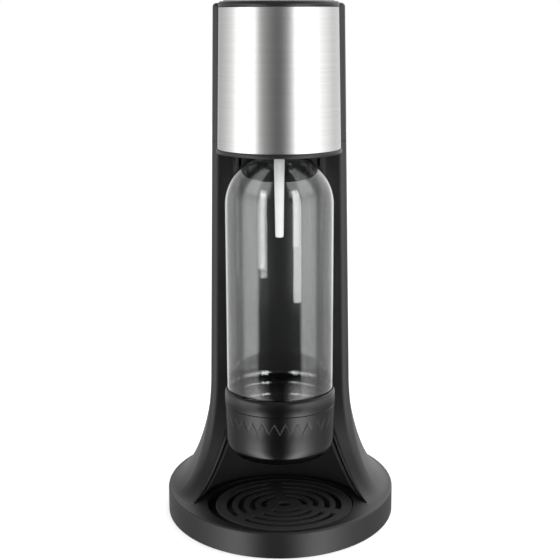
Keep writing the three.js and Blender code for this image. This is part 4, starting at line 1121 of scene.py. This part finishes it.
# The front as the bottle's far wall mirrors it, level and from above
inner_walls = (
    (-180, 1.0), (-92, 0.8), (-80, 1.8), (-52, 2.2), (-45, 0.1), (-20, 0.03), (20, 0.03),
    (45, 0.1), (52, 2.5), (80, 2.2), (92, 0.8), (180, 1.0),
)
inner_top = (
    (-180, 1.0), (-95, 1.5), (-80, 5.0), (-28, 5.0), (-20, 0.1), (20, 0.1), (28, 5.0), (80, 5.0),
    (95, 1.5), (180, 1.0),
)
# The pale ground in front, as low surfaces show it, and what is above the soft boxes
ground = (
    (-180, 0.3), (-110, 0.35), (-84, 0.9), (-66, 2.8), (-46, 4.4), (-32, 1.4), (-20, 0.2),
    (6, 0.1), (16, 0.6), (26, 2.2), (36, 4.2), (50, 4.2), (66, 2.2), (84, 0.8), (110, 0.4),
    (180, 0.3),
)
ceiling = (
    (-180, 0.8), (-135, 0.5), (-60, 0.3), (40, 0.35), (80, 0.8), (115, 1.2), (145, 1.7),
    (180, 0.9),
)
# Where one part of the studio goes over into the next, as the upward part of a direction
ground_end = (-0.38, -0.31)
dim_end = (-0.3, -0.28)
low_walls_end = (-0.235, -0.2)
ceiling_start = (0.02, 0.4)
inner_top_start = (0.3, 0.45)
dim_level = 0.4
inside_level = 1.6
background_level = 1.0

world = bpy.data.worlds.new("world")
bpy.context.scene.world = world
world.use_nodes = True
sky = world.node_tree


# A socket gets a number or the output of another node
def feed(socket, value):
    if isinstance(value, (int, float)):
        socket.default_value = value
    else:
        sky.links.new(value, socket)


def compute(operation, *values):
    node = add(sky, "Math", operation=operation)
    for socket, value in zip(node.inputs, values):
        feed(socket, value)
    return node.outputs[0]


def mix(share, low_part, high_part):
    node = add(sky, "Mix")
    for name, value in (("Factor", share), ("A", low_part), ("B", high_part)):
        feed(node.inputs[name], value)
    return node.outputs["Result"]


heading = add(sky, "SeparateXYZ")
sky.links.new(add(sky, "TexCoord").outputs["Generated"], heading.inputs[0])
east, north, up = heading.outputs
azimuth = compute("ARCTAN2", east, compute("MULTIPLY", north, -1.0))
turned_share = compute("ADD", compute("DIVIDE", azimuth, 2 * math.pi), 0.5)


def around(levels):
    brightest = max(level for angle, level in levels)
    stops = [((angle + 180) / 360, (level / brightest,) * 3) for angle, level in levels]
    return compute("MULTIPLY", ramp(sky, turned_share, stops), brightest)


def blend_up(band, low_part, high_part):
    share = add(sky, "MapRange", interpolation_type="SMOOTHSTEP")
    share.inputs["From Min"].default_value = band[0]
    share.inputs["From Max"].default_value = band[1]
    sky.links.new(up, share.inputs["Value"])
    return mix(share.outputs["Result"], low_part, high_part)


room = blend_up(low_walls_end, around(low_walls), around(walls))
room = blend_up(dim_end, compute("MULTIPLY", around(low_walls), dim_level), room)
room = blend_up(ground_end, around(ground), room)
room = blend_up(ceiling_start, room, around(ceiling))

# Through the bottle the white background shows behind, and what is inside it is lit evenly
ray = add(sky, "LightPath")
behind = compute("GREATER_THAN", north, 0.0)
inside = compute("GREATER_THAN", ray.outputs["Diffuse Depth"], 0.5)
ahead = blend_up(inner_top_start, around(inner_walls), around(inner_top))
through = mix(behind, ahead, background_level)
through = mix(inside, through, inside_level)
strength = mix(ray.outputs["Is Transmission Ray"], room, through)
strength = mix(ray.outputs["Is Camera Ray"], strength, background_level)
background = sky.nodes["Background"]
background.inputs["Color"].default_value = (1, 1, 1, 1)
sky.links.new(strength, background.inputs["Strength"])

bpy.context.scene.view_settings.view_transform = "Standard"

# The CAD nodes that stay get the material of their slot
for entry in frame["record"]["subparts"]:
    for material_slot in frame["nodes"][entry["node"]].material_slots:
        material_slot.material = materials[entry["material_slot"]]
